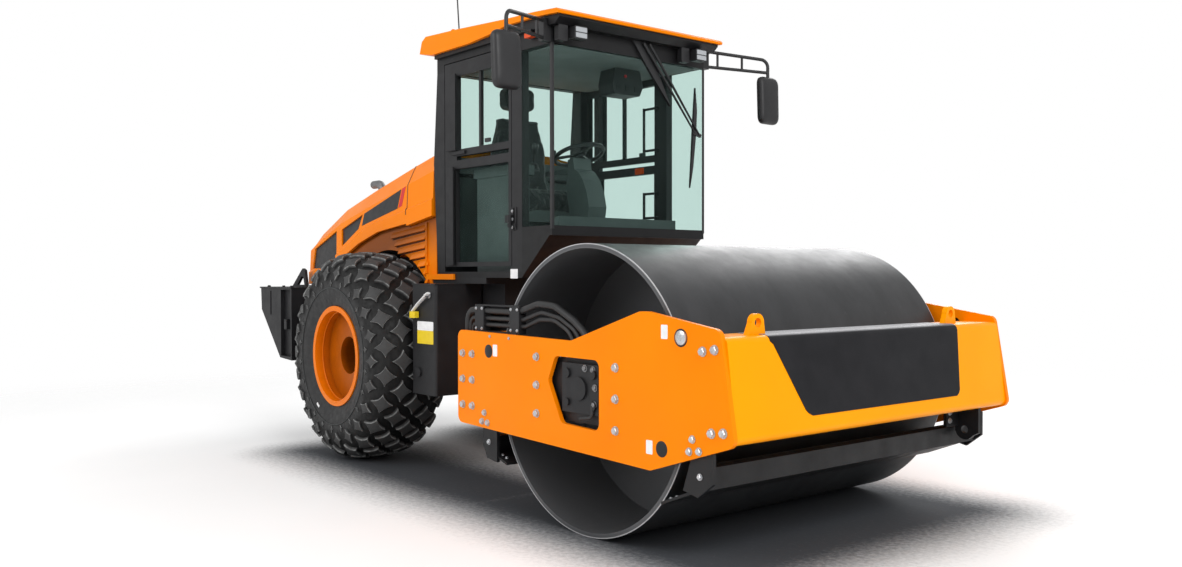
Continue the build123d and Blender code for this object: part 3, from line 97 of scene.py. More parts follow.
class Tree:
    """A material's node tree with short ways to add and join nodes."""

    def __init__(self, name):
        self.material = bpy.data.materials.new(name)
        self.material.use_nodes = True
        self.nodes = self.material.node_tree.nodes
        self.links = self.material.node_tree.links
        self.shader = self.nodes["Principled BSDF"]
        self.coords = self.nodes.new("ShaderNodeTexCoord").outputs["Object"]

    def add(self, kind, **settings):
        """A new node with its settings."""
        node = self.nodes.new(kind)
        for key, value in settings.items():
            setattr(node, key, value)
        return node

    def put(self, node, socket, value):
        """A number or a join into a node's socket."""
        if isinstance(value, bpy.types.NodeSocket):
            self.links.new(value, node.inputs[socket])
        else:
            node.inputs[socket].default_value = value
        return node

    def stretched(self, scale, turn=(0, 0, 0)):
        """The object's coordinates, scaled and turned."""
        mapping = self.add("ShaderNodeMapping")
        self.put(mapping, "Vector", self.coords)
        mapping.inputs["Scale"].default_value = scale
        mapping.inputs["Rotation"].default_value = turn
        return mapping.outputs["Vector"]

    def noise(self, scale, detail=4.0, rough=0.55, vector=None):
        """Cloudy noise on the object's coordinates."""
        node = self.add("ShaderNodeTexNoise")
        self.put(node, "Vector", vector or self.coords)
        self.put(node, "Scale", scale)
        self.put(node, "Detail", detail)
        self.put(node, "Roughness", rough)
        return node.outputs["Fac"]

    def span(self, value, low, high, to_low=0.0, to_high=1.0):
        """Value between low and high, carried linearly to the other range and held there."""
        node = self.add("ShaderNodeMapRange")
        for socket, number in (("Value", value), ("From Min", low), ("From Max", high), ("To Min", to_low),
                               ("To Max", to_high)):
            self.put(node, socket, number)
        return node.outputs["Result"]

    def drift(self, scale, detail=4.0, low=0.0, high=1.0, rough=0.55):
        """A slow cloud: the noise's middle part, where most of its values lie, carried to a range."""
        return self.span(self.noise(scale, detail, rough), *CLOUD, low, high)

    def math(self, operation, a, b=0.0):
        """One sum of two values."""
        node = self.add("ShaderNodeMath", operation=operation)
        self.put(node, 0, a)
        self.put(node, 1, b)
        return node.outputs["Value"]

    def apart(self, a, b):
        """Distance from two offsets: the root of their squares added."""
        return self.math("SQRT", self.math("ADD", self.math("MULTIPLY", a, a), self.math("MULTIPLY", b, b)))

    def blend(self, share, first, second):
        """A share of the second colour laid over the first."""
        node = self.add("ShaderNodeMix", data_type="RGBA")
        self.put(node, 0, share)
        self.put(node, 6, first)
        self.put(node, 7, second)
        return node.outputs[2]

    def bump(self, height, strength, distance=0.001, below=None):
        """A raised and sunken skin after a height."""
        node = self.add("ShaderNodeBump")
        self.put(node, "Height", height)
        self.put(node, "Strength", strength)
        self.put(node, "Distance", distance)
        if below is not None:
            self.put(node, "Normal", below)
        return node.outputs["Normal"]

    def axis(self, name):
        """One of the object's coordinates, in metres."""
        node = self.add("ShaderNodeSeparateXYZ")
        self.put(node, "Vector", self.coords)
        return node.outputs[name]

    def attribute(self, name):
        """A value kept on the mesh's points."""
        return self.add("ShaderNodeAttribute", attribute_name=name).outputs["Fac"]

    def finish(self, colour=None, rough=None, normal=None, **fixed):
        """Joins the shader's main sockets, sets the fixed ones and gives the material back."""
        for socket, value in (("Base Color", colour), ("Roughness", rough), ("Normal", normal)):
            if value is not None:
                self.put(self.shader, socket, value)
        for socket, value in fixed.items():
            self.shader.inputs[socket.replace("_", " ")].default_value = value
        return self.material

    def see_through(self, share, tint=(1.0, 1.0, 1.0, 1.0)):
        """The finished surface with a share of the light let straight through it."""
        clear = self.add("ShaderNodeBsdfTransparent")
        clear.inputs["Color"].default_value = tint
        mix = self.add("ShaderNodeMixShader")
        self.put(mix, 0, share)
        self.links.new(self.shader.outputs[0], mix.inputs[1])
        self.links.new(clear.outputs[0], mix.inputs[2])
        self.links.new(mix.outputs[0], self.nodes["Material Output"].inputs["Surface"])
        return self.material


def rgb(r, g, b):
    """A colour written as it shows on a screen, 0 to 255, turned into linear light."""
    return tuple(((v / 255 + 0.055) / 1.055) ** 2.4 if v > 10 else v / 255 / 12.92 for v in (r, g, b)) + (1.0,)


def enamel(name, colour, shade, rough=0.34, peel=0.22, dust=0.012):
    """Machine enamel: slow drift of tone, a fine orange-peel skin and a little dust."""
    t = Tree(name)
    drift = t.drift(1.4, 3.0)
    body = t.blend(drift, colour, shade)
    specks = t.span(t.noise(38.0, 6.0, 0.7), 0.58, 0.80, 0.0, dust)
    body = t.blend(specks, body, rgb(196, 186, 168))
    gloss = t.drift(5.0, 4.0, rough - 0.05, rough + 0.09)
    skin = t.bump(t.noise(420.0, 1.0), peel, 0.0004)
    return t.finish(body, gloss, skin, Specular_IOR_Level=0.16, Specular_Tint=(1.0, 0.45, 0.02, 1.0),
                    Coat_Weight=0.02, Coat_Roughness=0.12)


def powder_coat(name, colour, light, rough=0.48):
    """Black satin powder coat: pebbled skin, dusty patches and pale rubbed flecks."""
    t = Tree(name)
    haze = t.span(t.noise(2.2, 5.0, 0.6), 0.35, 0.75)
    body = t.blend(haze, colour, light)
    fleck = t.span(t.noise(90.0, 3.0, 0.7), 0.70, 0.78, 0.0, 0.18)
    body = t.blend(fleck, body, rgb(96, 96, 97))
    gloss = t.drift(9.0, 4.0, rough - 0.07, rough + 0.10)
    skin = t.bump(t.noise(650.0, 2.0), 0.35, 0.0004)
    return t.finish(body, gloss, skin, Specular_IOR_Level=0.35)


def rolled_steel():
    """Drum shell: dark rolled steel with soft scuffs, a greyer end face and between them a bright corner that is
    a painted edge highlight, found by the distance from the drum's axis and from its middle."""
    t = Tree("rolled_steel")
    cloud = t.noise(2.6, 8.0, 0.62, t.stretched((1.0, 2.0, 1.0)))
    body = t.blend(t.span(cloud, 0.35, 0.70), rgb(42, 43, 45), rgb(56, 57, 59))
    scuff = t.span(t.noise(11.0, 8.0, 0.75), 0.62, 0.76, 0.0, 0.20)
    body = t.blend(scuff, body, rgb(104, 104, 106))
    over_x = t.math("SUBTRACT", t.axis("X"), DRUM_X)
    over_z = t.math("SUBTRACT", t.axis("Z"), DRUM_R)
    radius = t.apart(over_x, over_z)
    reach = t.math("ABSOLUTE", t.axis("Y"))
    body = t.blend(t.span(reach, 1.0640, 1.0645), body, rgb(84, 85, 87))
    body = t.blend(t.span(radius, 0.7440, 0.7420), body, rgb(92, 93, 95))
    # Painted edge highlight on the corner between the shell and the end face
    corner = t.math("MULTIPLY", t.span(reach, 1.0600, 1.0615), t.span(radius, 0.7560, 0.7580))
    body = t.blend(t.math("MULTIPLY", corner, t.span(t.noise(30.0, 4.0), 0.2, 0.5, 0.6, 1.0)), body,
                   rgb(186, 186, 188))
    gloss = t.drift(5.0, 6.0, 0.38, 0.50, 0.7)
    skin = t.bump(t.noise(160.0, 5.0, 0.7), 0.18, 0.0006)
    return t.finish(body, gloss, skin, Metallic=0.30)


def tyre_rubber():
    """Rubber: the shade-and-wear value runs from 0 in the grooves, through the sidewall and the blocks' tops, to 1 on
    their rubbed edges; it darkens the grooves with painted shade, lightens the blocks' tops and edges, and brings
    out pale rubbed edges in patches."""
    t = Tree("tyre_rubber")
    shade_and_wear = t.attribute("shade_and_wear")
    tone = t.blend(t.drift(9.0, 6.0, rough=0.7), rgb(34, 34, 35), rgb(52, 52, 52))
    # Painted shade: the grooves are darkened to near black
    tone = t.blend(t.span(shade_and_wear, 0.0, 0.25), rgb(15, 15, 15), tone)
    tone = t.blend(t.span(shade_and_wear, 0.30, 0.50, 0.0, 0.55), tone, rgb(72, 72, 72))
    worn = t.math("MULTIPLY", t.span(shade_and_wear, 0.60, 0.95), t.span(t.noise(21.0, 5.0, 0.7), 0.40, 0.62, 0.2, 1.0))
    body = t.blend(worn, tone, rgb(150, 151, 150))
    gloss = t.drift(30.0, 3.0, 0.50, 0.78)
    skin = t.bump(t.noise(230.0, 5.0, 0.7), 0.5, 0.0012)
    return t.finish(body, gloss, skin, Specular_IOR_Level=0.35)


def moulded(name, colour, light, rough=0.55, grain=900.0):
    """Moulded plastic: even tone with a fine leathery grain."""
    t = Tree(name)
    body = t.blend(t.drift(3.0, 4.0), colour, light)
    cells = t.add("ShaderNodeTexVoronoi")
    t.put(cells, "Vector", t.coords)
    t.put(cells, "Scale", grain)
    skin = t.bump(cells.outputs["Distance"], 0.25, 0.0003)
    gloss = t.drift(20.0, 3.0, rough - 0.05, rough + 0.08)
    return t.finish(body, gloss, skin)


def zinc(name, colour, light, rough=0.30):
    """Zinc-plated or bare bright metal: cloudy sheen and fine scratches."""
    t = Tree(name)
    body = t.blend(t.drift(60.0, 5.0, rough=0.6), colour, light)
    gloss = t.drift(120.0, 4.0, rough - 0.06, rough + 0.12)
    skin = t.bump(t.noise(500.0, 3.0, 0.6), 0.2, 0.0003)
    return t.finish(body, gloss, skin, Metallic=0.9)


def tinted_glass(name, tint, clear):
    """Tinted pane: mostly see-through with a green cast, faint dust, and a mirror-smooth skin."""
    t = Tree(name)
    dust = t.span(t.noise(6.0, 6.0, 0.7), 0.35, 0.8, 0.0, 0.012)
    t.finish(rgb(96, 112, 108), t.drift(40.0, 2.0, 0.03, 0.08), None, Specular_IOR_Level=0.4)
    return t.see_through(t.math("SUBTRACT", clear, dust), tint)


def seat_cloth():
    """Woven seat cover: crossed threads under a soft sheen, with painted shade darkening the hollows."""
    t = Tree("seat_cloth")
    waves = []
    for turn in (0.0, math.pi / 2):
        wave = t.add("ShaderNodeTexWave", bands_direction="Y")
        t.put(wave, "Vector", t.stretched((1.0, 1.0, 1.0), (turn, turn, turn)))
        t.put(wave, "Scale", 260.0)
        t.put(wave, "Distortion", 0.6)
        waves.append(wave.outputs["Fac"])
    weave = t.math("MAXIMUM", waves[0], waves[1])
    # Painted shade: the weave's hollows are darker
    body = t.blend(weave, rgb(20, 21, 22), rgb(40, 42, 44))
    fuzz = t.drift(14.0, 5.0, 0.82, 0.95)
    skin = t.bump(weave, 0.4, 0.0006)
    return t.finish(body, fuzz, skin, Sheen_Weight=0.3, Sheen_Roughness=0.5)


def plain_print(name, colour, light, rough=0.35):
    """Blank printed film: even colour, faint mottling, smooth."""
    t = Tree(name)
    body = t.blend(t.drift(25.0, 3.0), colour, light)
    skin = t.bump(t.noise(300.0, 2.0), 0.08, 0.0002)
    return t.finish(body, t.drift(12.0, 4.0, rough - 0.04, rough + 0.08), skin)


def lens():
    """Lamp lens: bright ribbed silver under a clear front."""
    t = Tree("lamp_lens")
    wave = t.add("ShaderNodeTexWave", bands_direction="Y")
    t.put(wave, "Vector", t.coords)
    t.put(wave, "Scale", 45.0)
    body = t.blend(wave.outputs["Fac"], rgb(210, 214, 218), rgb(160, 165, 170))
    return t.finish(body, t.drift(60.0, 4.0, 0.08, 0.2), t.bump(wave.outputs["Fac"], 0.4, 0.001),
                    Metallic=0.5, Coat_Weight=1.0, Coat_Roughness=0.03)


def barrel_enamel():
    """Wheel paint: the machine's orange, deepening to brown towards the dish, which stands for the shade
    inside the wheel."""
    t = Tree("barrel_enamel")
    deep = t.span(t.math("ADD", t.math("ABSOLUTE", t.axis("Y")), t.drift(9.0, 5.0, -0.01, 0.01)),
                  1.055, 0.90)
    body = t.blend(t.drift(1.6), rgb(240, 124, 0), rgb(232, 117, 0))
    body = t.blend(deep, body, rgb(118, 56, 2))
    gloss = t.drift(5.0, 4.0, 0.34, 0.46)
    return t.finish(body, gloss, t.bump(t.noise(420.0, 1.0), 0.22, 0.0004), Specular_IOR_Level=0.2)


def panel_enamel():
    """Paint of the panel over the wheel: the machine's orange, deepening to brown upwards and rearwards, which
    stands for the shade under the hood's lip."""
    t = Tree("panel_enamel")
    body = t.blend(t.drift(1.4, 3.0), rgb(248, 132, 0), rgb(240, 126, 0))
    drop = t.math("ADD", t.axis("Z"), t.math("MULTIPLY", t.axis("X"), -0.30))
    shade = t.span(t.math("ADD", drop, t.drift(3.0, 5.0, -0.03, 0.03)), 1.60, 1.90, 0.0, 0.80)
    body = t.blend(shade, body, rgb(88, 42, 4))
    gloss = t.drift(5.0, 4.0, 0.34, 0.46)
    return t.finish(body, gloss, t.bump(t.noise(420.0, 1.0), 0.22, 0.0004), Specular_IOR_Level=0.16)


def satin_sheet():
    """Anti-slip sheet of the front beam: near black and satin on the sloping face, with a pale, sparkling
    painted highlight where it folds over the top."""
    t = Tree("satin_sheet")
    body = t.blend(t.drift(6.0, 4.0), rgb(24, 24, 27), rgb(32, 32, 35))
    highlight_sparkle = t.span(t.noise(260.0, 2.0), 0.45, 0.70, 0.35, 1.0)
    # Painted highlight: above 1.078 m the sheet's top turns pale and sparkling
    tread = t.math("MULTIPLY", t.span(t.axis("Z"), 1.078, 1.086), highlight_sparkle)
    body = t.blend(tread, body, rgb(176, 176, 180))
    gloss = t.drift(5.0, 4.0, 0.42, 0.52)
    return t.finish(body, gloss, t.bump(t.noise(300.0, 3.0), 0.3, 0.0005), Specular_IOR_Level=0.14)


ORANGE = enamel("orange_enamel", rgb(252, 136, 0), rgb(246, 129, 0))
# A lighter, yellower copy of the orange enamel: painted light that brightens the parts in the amber_paint slot
LIT_ORANGE = enamel("lit_orange_enamel", rgb(255, 160, 0), rgb(252, 153, 0))
BLACK = powder_coat("black_coat", rgb(24, 24, 26), rgb(36, 36, 38))
STEEL = rolled_steel()
RUBBER = tyre_rubber()
LINING = moulded("roof_cloth", rgb(112, 118, 118), rgb(136, 142, 142), 0.8, 600.0)
TRIM = moulded("cab_trim", rgb(62, 68, 68), rgb(80, 86, 86), 0.55, 700.0)
# Brown for the louvres' open slots: painted shade
SLOT_SHADE = moulded("shaded_slot", rgb(58, 28, 6), rgb(74, 36, 8), 0.8)
HOSE = moulded("hose_cover", rgb(24, 24, 25), rgb(36, 36, 37), 0.5, 500.0)
PLASTIC = moulded("black_plastic", rgb(25, 25, 27), rgb(35, 35, 37), 0.45)
GREY = moulded("grey_plastic", rgb(38, 41, 41), rgb(50, 53, 53), 0.55)
EXHAUST = zinc("exhaust_steel", rgb(112, 112, 114), rgb(146, 146, 147), 0.45)
# A darker copy of the black coat: painted shade for parts under the frame and inside the cab
SHADED_BLACK = powder_coat("shaded_black", rgb(13, 13, 15), rgb(22, 22, 24))
PANEL_BLACK = moulded("satin_panel", rgb(13, 13, 16), rgb(20, 20, 23), 0.40, 300.0)
STICKER = plain_print("blank_sticker", rgb(226, 227, 228), rgb(240, 240, 240))
YELLOW = plain_print("yellow_sticker", rgb(236, 206, 30), rgb(226, 194, 24))
RED = plain_print("red_strip", rgb(214, 8, 26), rgb(196, 6, 20))
SIGNAL = plain_print("signal_lens", rgb(226, 78, 12), rgb(204, 66, 10), 0.18)
ZINC = zinc("zinc_plate", rgb(176, 178, 182), rgb(212, 214, 216))
CHROME = zinc("rod_chrome", rgb(205, 207, 210), rgb(228, 229, 230), 0.14)
GLASS = tinted_glass("tinted_glass", (0.872, 0.938, 0.921, 1.0), 0.975)
CLOTH = seat_cloth()
CASTING = powder_coat("painted_casting", rgb(40, 41, 43), rgb(60, 61, 63), 0.6)
LENS = lens()
SHEET = satin_sheet()
RIM_PAINT = barrel_enamel()
PANEL_ORANGE = panel_enamel()
SLOT_FINISH = {
    "orange_paint": ORANGE, "amber_paint": LIT_ORANGE, "black_paint": BLACK, "drum_steel": STEEL, "tyre_rubber": RUBBER,
    "hose_rubber": HOSE, "steel": EXHAUST, "rod_chrome": CHROME, "tinted_glass": GLASS, "grey_plastic": GREY,
    "black_plastic": PLASTIC, "seat_fabric": CLOTH, "cast_block": CASTING, "lamp": LENS,
}
# SHADED_BLACK paints shade on the scrapers, the tow plate and the cab's floor, panels, header and roof lining
NODE_FINISH = {
    "rim": RIM_PAINT, "scraper_front": SHADED_BLACK, "scraper_rear": SHADED_BLACK, "tow_plate": SHADED_BLACK,
    "cab_floor": SHADED_BLACK, "cab_panels": SHADED_BLACK, "console": TRIM, "seat_base": TRIM, "steering_column": TRIM,
    "side_panel": PANEL_ORANGE, "cab_header": SHADED_BLACK, "roof_lining": SHADED_BLACK,
}
for part in frame["record"]["subparts"]:
    node = frame["nodes"][part["node"]]
    node.data.materials.clear()
    finish = NODE_FINISH.get(part["node"].rsplit("_right", 1)[0].rsplit("_left", 1)[0])
    node.data.materials.append(finish or SLOT_FINISH[part["material_slot"]])

# ------------------------------------------------------------------ surfaces
def put_mesh(name, points, faces, material, body, sharp=0.6):
    """A closed mesh from an array of points and its faces, riding on a body of the machine."""
    mesh = bpy.data.meshes.new(name)
    mesh.from_pydata(np.asarray(points, float).reshape(-1, 3).tolist(), [], [tuple(map(int, f)) for f in faces])
    mesh.materials.append(material)
    mesh.update()
    bm = bmesh.new()
    bm.from_mesh(mesh)
    bmesh.ops.recalc_face_normals(bm, faces=bm.faces)
    for edge in bm.edges:
        edge.smooth = len(edge.link_faces) < 2 or edge.calc_face_angle(0.0) < sharp
    for face in bm.faces:
        face.smooth = True
    bm.to_mesh(mesh)
    bm.free()
    piece = bpy.data.objects.new(name, mesh)
    bpy.context.scene.collection.objects.link(piece)
    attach(piece, body)
    return piece


def wrap_faces(rows, columns, round_rows=False, round_columns=False):
    """Four-sided faces of a grid of points, closed on itself along either way if asked."""
    i, j = np.meshgrid(np.arange(rows if round_rows else rows - 1),
                       np.arange(columns if round_columns else columns - 1), indexing="ij")
    after_i, after_j = (i + 1) % rows, (j + 1) % columns
    quads = np.stack([i * columns + j, after_i * columns + j, after_i * columns + after_j, i * columns + after_j], -1)
    return quads.reshape(-1, 4)


def joined(shapes):
    """Points and faces of several shapes as one list of each."""
    points, faces, start = [], [], 0
    for shape_points, shape_faces in shapes:
        flat = np.asarray(shape_points, float).reshape(-1, 3)
        points.append(flat)
        faces += [tuple(int(v) + start for v in face) for face in shape_faces]
        start += len(flat)
    return np.concatenate(points), faces


LEG_SHARE = 0.48  # the most of a route's leg that one corner's arc may take


def rounded_route(stops, bend):
    """A route through stops whose corners are arcs: each corner is cut back by the bend's reach and
    filled with points of the circle that touches both legs."""
    stops = np.asarray(stops, float)
    route = [stops[0]]
    for before, corner, after in zip(stops[:-2], stops[1:-1], stops[2:]):
        to_a = (before - corner) / np.linalg.norm(before - corner)
        to_b = (after - corner) / np.linalg.norm(after - corner)
        half = math.acos(max(-1.0, min(1.0, float(to_a @ to_b)))) / 2
        reach = min(bend / math.tan(half), LEG_SHARE * np.linalg.norm(before - corner),
                    LEG_SHARE * np.linalg.norm(after - corner))
        radius = reach * math.tan(half)
        middle = corner + (to_a + to_b) / np.linalg.norm(to_a + to_b) * radius / math.sin(half)
        first, last = corner + to_a * reach - middle, corner + to_b * reach - middle
        sweep = math.pi - 2 * half
        for share in np.linspace(0, 1, 9):
            spread = (math.sin((1 - share) * sweep) * first + math.sin(share * sweep) * last) / math.sin(sweep)
            route.append(middle + spread)
    route.append(stops[-1])
    return np.array(route)


def carried_ring(route, radius, sides=16, squash=1.0):
    """A round tube with closed ends: a ring of points is carried along the route, its plane square to it.
    The ring's first direction is turned along with the route, so the tube has no twist."""
    route = np.asarray(route, float)
    along = np.gradient(route, axis=0)
    along /= np.linalg.norm(along, axis=1)[:, None]
    aside = np.cross(along[0], (0.0, 0.0, 1.0) if abs(along[0][2]) < 0.9 else (0.0, 1.0, 0.0))
    frames = []
    for step in along:
        aside = aside - step * (aside @ step)
        aside /= np.linalg.norm(aside)
        frames.append((aside, np.cross(step, aside)))
    turn = np.linspace(0, 2 * math.pi, sides, endpoint=False)
    radii = np.broadcast_to(radius, len(route))
    rings = np.array([place + r * (np.cos(turn)[:, None] * a + squash * np.sin(turn)[:, None] * b)
                      for place, r, (a, b) in zip(route, radii, frames)])
    faces = [tuple(f) for f in wrap_faces(len(route), sides, round_columns=True)]
    last = (len(route) - 1) * sides
    faces += [tuple(range(sides - 1, -1, -1)), tuple(range(last, last + sides))]
    return rings.reshape(-1, 3), faces


WAYS = {"x": (0, 1, 2), "y": (1, 0, 2), "z": (2, 0, 1)}  # the axis a plate is carried along, then its outline's two


def slab(outline, low, high, way="y"):
    """A flat plate: an outline in one plane carried straight along the third axis from low to high."""
    across, *plane = WAYS[way]
    outline = np.asarray(outline, float)
    count = len(outline)
    points = np.zeros((2, count, 3))
    points[:, :, plane[0]] = outline[:, 0]
    points[:, :, plane[1]] = outline[:, 1]
    points[0, :, across] = low
    points[1, :, across] = high
    faces = [tuple(f) for f in wrap_faces(2, count, round_columns=True)]
    faces += [tuple(range(count - 1, -1, -1)), tuple(range(count, 2 * count))]
    return points.reshape(-1, 3), faces


def turned(profile, centre, axis, sides=48, closed=False):
    """A surface of revolution: a profile of (distance along the axis, radius) turned round the axis."""
    axis = np.asarray(axis, float) / np.linalg.norm(axis)
    aside = np.cross(axis, (0.0, 0.0, 1.0) if abs(axis[2]) < 0.9 else (1.0, 0.0, 0.0))
    aside /= np.linalg.norm(aside)
    other = np.cross(axis, aside)
    turn = np.linspace(0, 2 * math.pi, sides, endpoint=False)
    profile = np.asarray(profile, float)
    spokes = np.cos(turn)[:, None] * aside + np.sin(turn)[:, None] * other
    points = np.asarray(centre, float) + profile[:, None, :1] * axis + profile[:, None, 1:] * spokes[None]
    faces = [tuple(f) for f in wrap_faces(len(profile), sides, round_rows=closed, round_columns=True)]
    if not closed:
        last = (len(profile) - 1) * sides
        faces += [tuple(range(sides - 1, -1, -1)), tuple(range(last, last + sides))]
    return points.reshape(-1, 3), faces


# ------------------------------------------------------------------ tyres
LUG_COUNT = 22
# Carcass from bead to bead: distance from the tyre's middle, radius
CARCASS = ((-0.250, 0.350), (-0.262, 0.385), (-0.284, 0.450), (-0.2895, 0.496), (-0.2925, 0.500), (-0.2905, 0.504),
           (-0.290, 0.560), (-0.280, 0.620), (-0.252, 0.672), (-0.208, 0.708), (-0.146, 0.727), (-0.075, 0.734),
           (0.0, 0.736))
# Lug rows: place across the tread, half size of a block, height, phase as a share of the pitch
LUG_ROWS = ((0.0, 0.0850, 0.029, 0.0), (0.114, 0.0850, 0.028, 0.5), (0.229, 0.0810, 0.027, 0.0),
            (0.336, 0.0600, 0.018, 0.5), (0.414, 0.0280, 0.008, 0.0))
LUG_STEPS = np.array((-1.0, -0.93, -0.84, -0.5, 0.0, 0.5, 0.84, 0.93, 1.0))
LUG_RISE = np.array((-0.25, 0.86, 1.0, 1.0, 1.0, 1.0, 1.0, 0.86, -0.25))


def carcass_curve():
    """The carcass profile as a smooth curve with its running length, measured from the tyre's middle."""
    half = np.array(CARCASS)
    whole = np.concatenate([half, (half * (-1, 1))[::-1][1:]])
    knots = np.concatenate([[0], np.cumsum(np.linalg.norm(np.diff(whole, axis=0), axis=1))])
    fine = np.linspace(0, knots[-1], 161)
    curve = np.stack([np.interp(fine, knots, whole[:, 0]), np.interp(fine, knots, whole[:, 1])], -1)
    for _ in range(3):
        curve[1:-1] = 0.25 * curve[:-2] + 0.5 * curve[1:-1] + 0.25 * curve[2:]
    return fine - knots[-1] / 2, curve


def lug_field(middle_y):
    """Every tread block: a square turned to stand on its corner, its edges drawn in a little, laid on the
    carcass by running length across and by angle round, and raised along the carcass's own normal."""
    length, curve = carcass_curve()
    normal = np.stack([-np.gradient(curve[:, 1]), np.gradient(curve[:, 0])], -1)
    normal /= np.linalg.norm(normal, axis=1)[:, None]
    u, v = np.meshgrid(LUG_STEPS, LUG_STEPS, indexing="ij")
    rise = np.minimum(LUG_RISE[:, None], LUG_RISE[None, :])
    pinch = 1 - 0.27 * (1 - v ** 2)
    pinch_other = 1 - 0.27 * (1 - u ** 2)
    across = (u * pinch + v * pinch_other) / 2
    around = (u * pinch - v * pinch_other) / 2
    shapes, shade_and_wear = [], []
    for place, half, high, phase in LUG_ROWS:
        for sign in ((1,) if place == 0 else (-1, 1)):
            run = sign * place + across * half
            flat = np.stack([np.interp(run, length, curve[:, 0]), np.interp(run, length, curve[:, 1])], -1)
            out = np.stack([np.interp(run, length, normal[:, 0]), np.interp(run, length, normal[:, 1])], -1)
            lifted = flat + out * (rise * high)[..., None]
            for k in range(LUG_COUNT):
                turn = 2 * math.pi * (k + phase) / LUG_COUNT + around * half / 0.72
                points = np.stack([AXLE_X + lifted[..., 1] * np.sin(turn), middle_y + lifted[..., 0],
                                   TYRE_R + lifted[..., 1] * np.cos(turn)], -1)
                shapes.append((points, wrap_faces(len(LUG_STEPS), len(LUG_STEPS))))
                # 0 at the blocks' feet, where the material paints shade; 1 on their edges and 0.5 on their tops
                shade_and_wear.append(np.where(rise < 0, 0.0, np.where(rise < 0.95, 1.0, 0.5)).ravel())
    return shapes, shade_and_wear


for side, sign in SIDES:
    length, curve = carcass_curve()
    body_points, body_faces = turned(curve, (AXLE_X, TRACK_Y * sign, TYRE_R), (0, 1, 0), 160, closed=True)
    lugs, shade_and_wear = lug_field(TRACK_Y * sign)
    tyre = put_mesh(f"tyre_{side}_tread", *joined([(body_points, body_faces)] + lugs), RUBBER, f"wheel_{side}", 0.7)
    sidewall = np.repeat(np.interp(np.abs(length), (0.36, 0.43), (0.0, 0.25)), 160)
    values = np.concatenate([sidewall] + shade_and_wear)
    layer = tyre.data.attributes.new("shade_and_wear", "FLOAT", "POINT")
    layer.data.foreach_set("value", values.astype(np.float32))
    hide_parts(f"tyre_{side}")

# ------------------------------------------------------------------ hoses
HOSE_Y = -1.095
HOSE_BEND = 0.140
# Radius, foot, running height, arch points, from the drum axle
HOSES = ((0.019, -1.062, 1.154, ((-0.540, 1.154), (-0.359, 1.202), (-0.212, 1.192), (-0.050, 1.120), (0.060, 1.045),
                                 (0.085, 0.933))),
         (0.013, -1.030, 1.110, ((-0.500, 1.110), (-0.329, 1.158), (-0.170, 1.132), (-0.020, 1.062), (0.030, 0.931))),
         (0.013, -1.001, 1.072, ((-0.480, 1.072), (-0.340, 1.118), (-0.215, 1.118), (-0.070, 1.055), (-0.035, 0.931))))
hose_shapes = []
for radius, foot, running, arch in HOSES:
    stops = [(front(foot), HOSE_Y, 1.016), (front(foot), HOSE_Y, running)]
    stops += [(front(x), HOSE_Y, z) for x, z in arch]
    hose_shapes.append(carried_ring(rounded_route(stops, HOSE_BEND), radius, 18))
hoses = put_mesh("hose_runs", *joined(hose_shapes), HOSE, "front_frame")
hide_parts("hoses")


# ------------------------------------------------------------------ fasteners and plates
def hex_bolt(place, axis, hexagon, washer, high):
    """Shapes of a bolt head: a flat washer turned round the bolt's axis, and on it a six-sided head whose
    top edge is drawn in."""
    flat = turned([(0.0, washer), (0.0035, washer), (0.0042, washer - 0.0008)], place, axis, 24)
    head = turned([(0.003, hexagon), (high * 0.8, hexagon), (high, hexagon * 0.86)], place, axis, 6)
    return [flat, head]


def bolts(name, body, places, axis, hexagon=0.0195, washer=0.023, high=0.017, metal=ZINC):
    """Bolt heads of one size standing along one axis, as one piece on a body."""
    heads = [shape for place in places for shape in hex_bolt(place, axis, hexagon, washer, high)]
    return put_mesh(name, *joined(heads), metal, body, 0.5)


def rounded(outline, radius, steps=5):
    """An outline whose corners are arcs of the given radius, as the route's corners are."""
    outline = np.asarray(outline, float)
    ring = []
    for before, corner, after in zip(np.roll(outline, 1, 0), outline, np.roll(outline, -1, 0)):
        to_a = (before - corner) / np.linalg.norm(before - corner)
        to_b = (after - corner) / np.linalg.norm(after - corner)
        for share in np.linspace(0, 1, steps):
            ring.append(corner + radius * ((1 - share) ** 2 * to_a + share ** 2 * to_b))
    return np.array(ring)


def oblong(u0, u1, v0, v1):
    """The four corners of an upright rectangle."""
    return ((u0, v0), (u1, v0), (u1, v1), (u0, v1))


def tile(u0, u1, v0, v1, corner, low, high, way="y"):
    """A rectangular plate with rounded corners, carried from low to high."""
    return slab(rounded(oblong(u0, u1, v0, v1), corner), low, high, way)


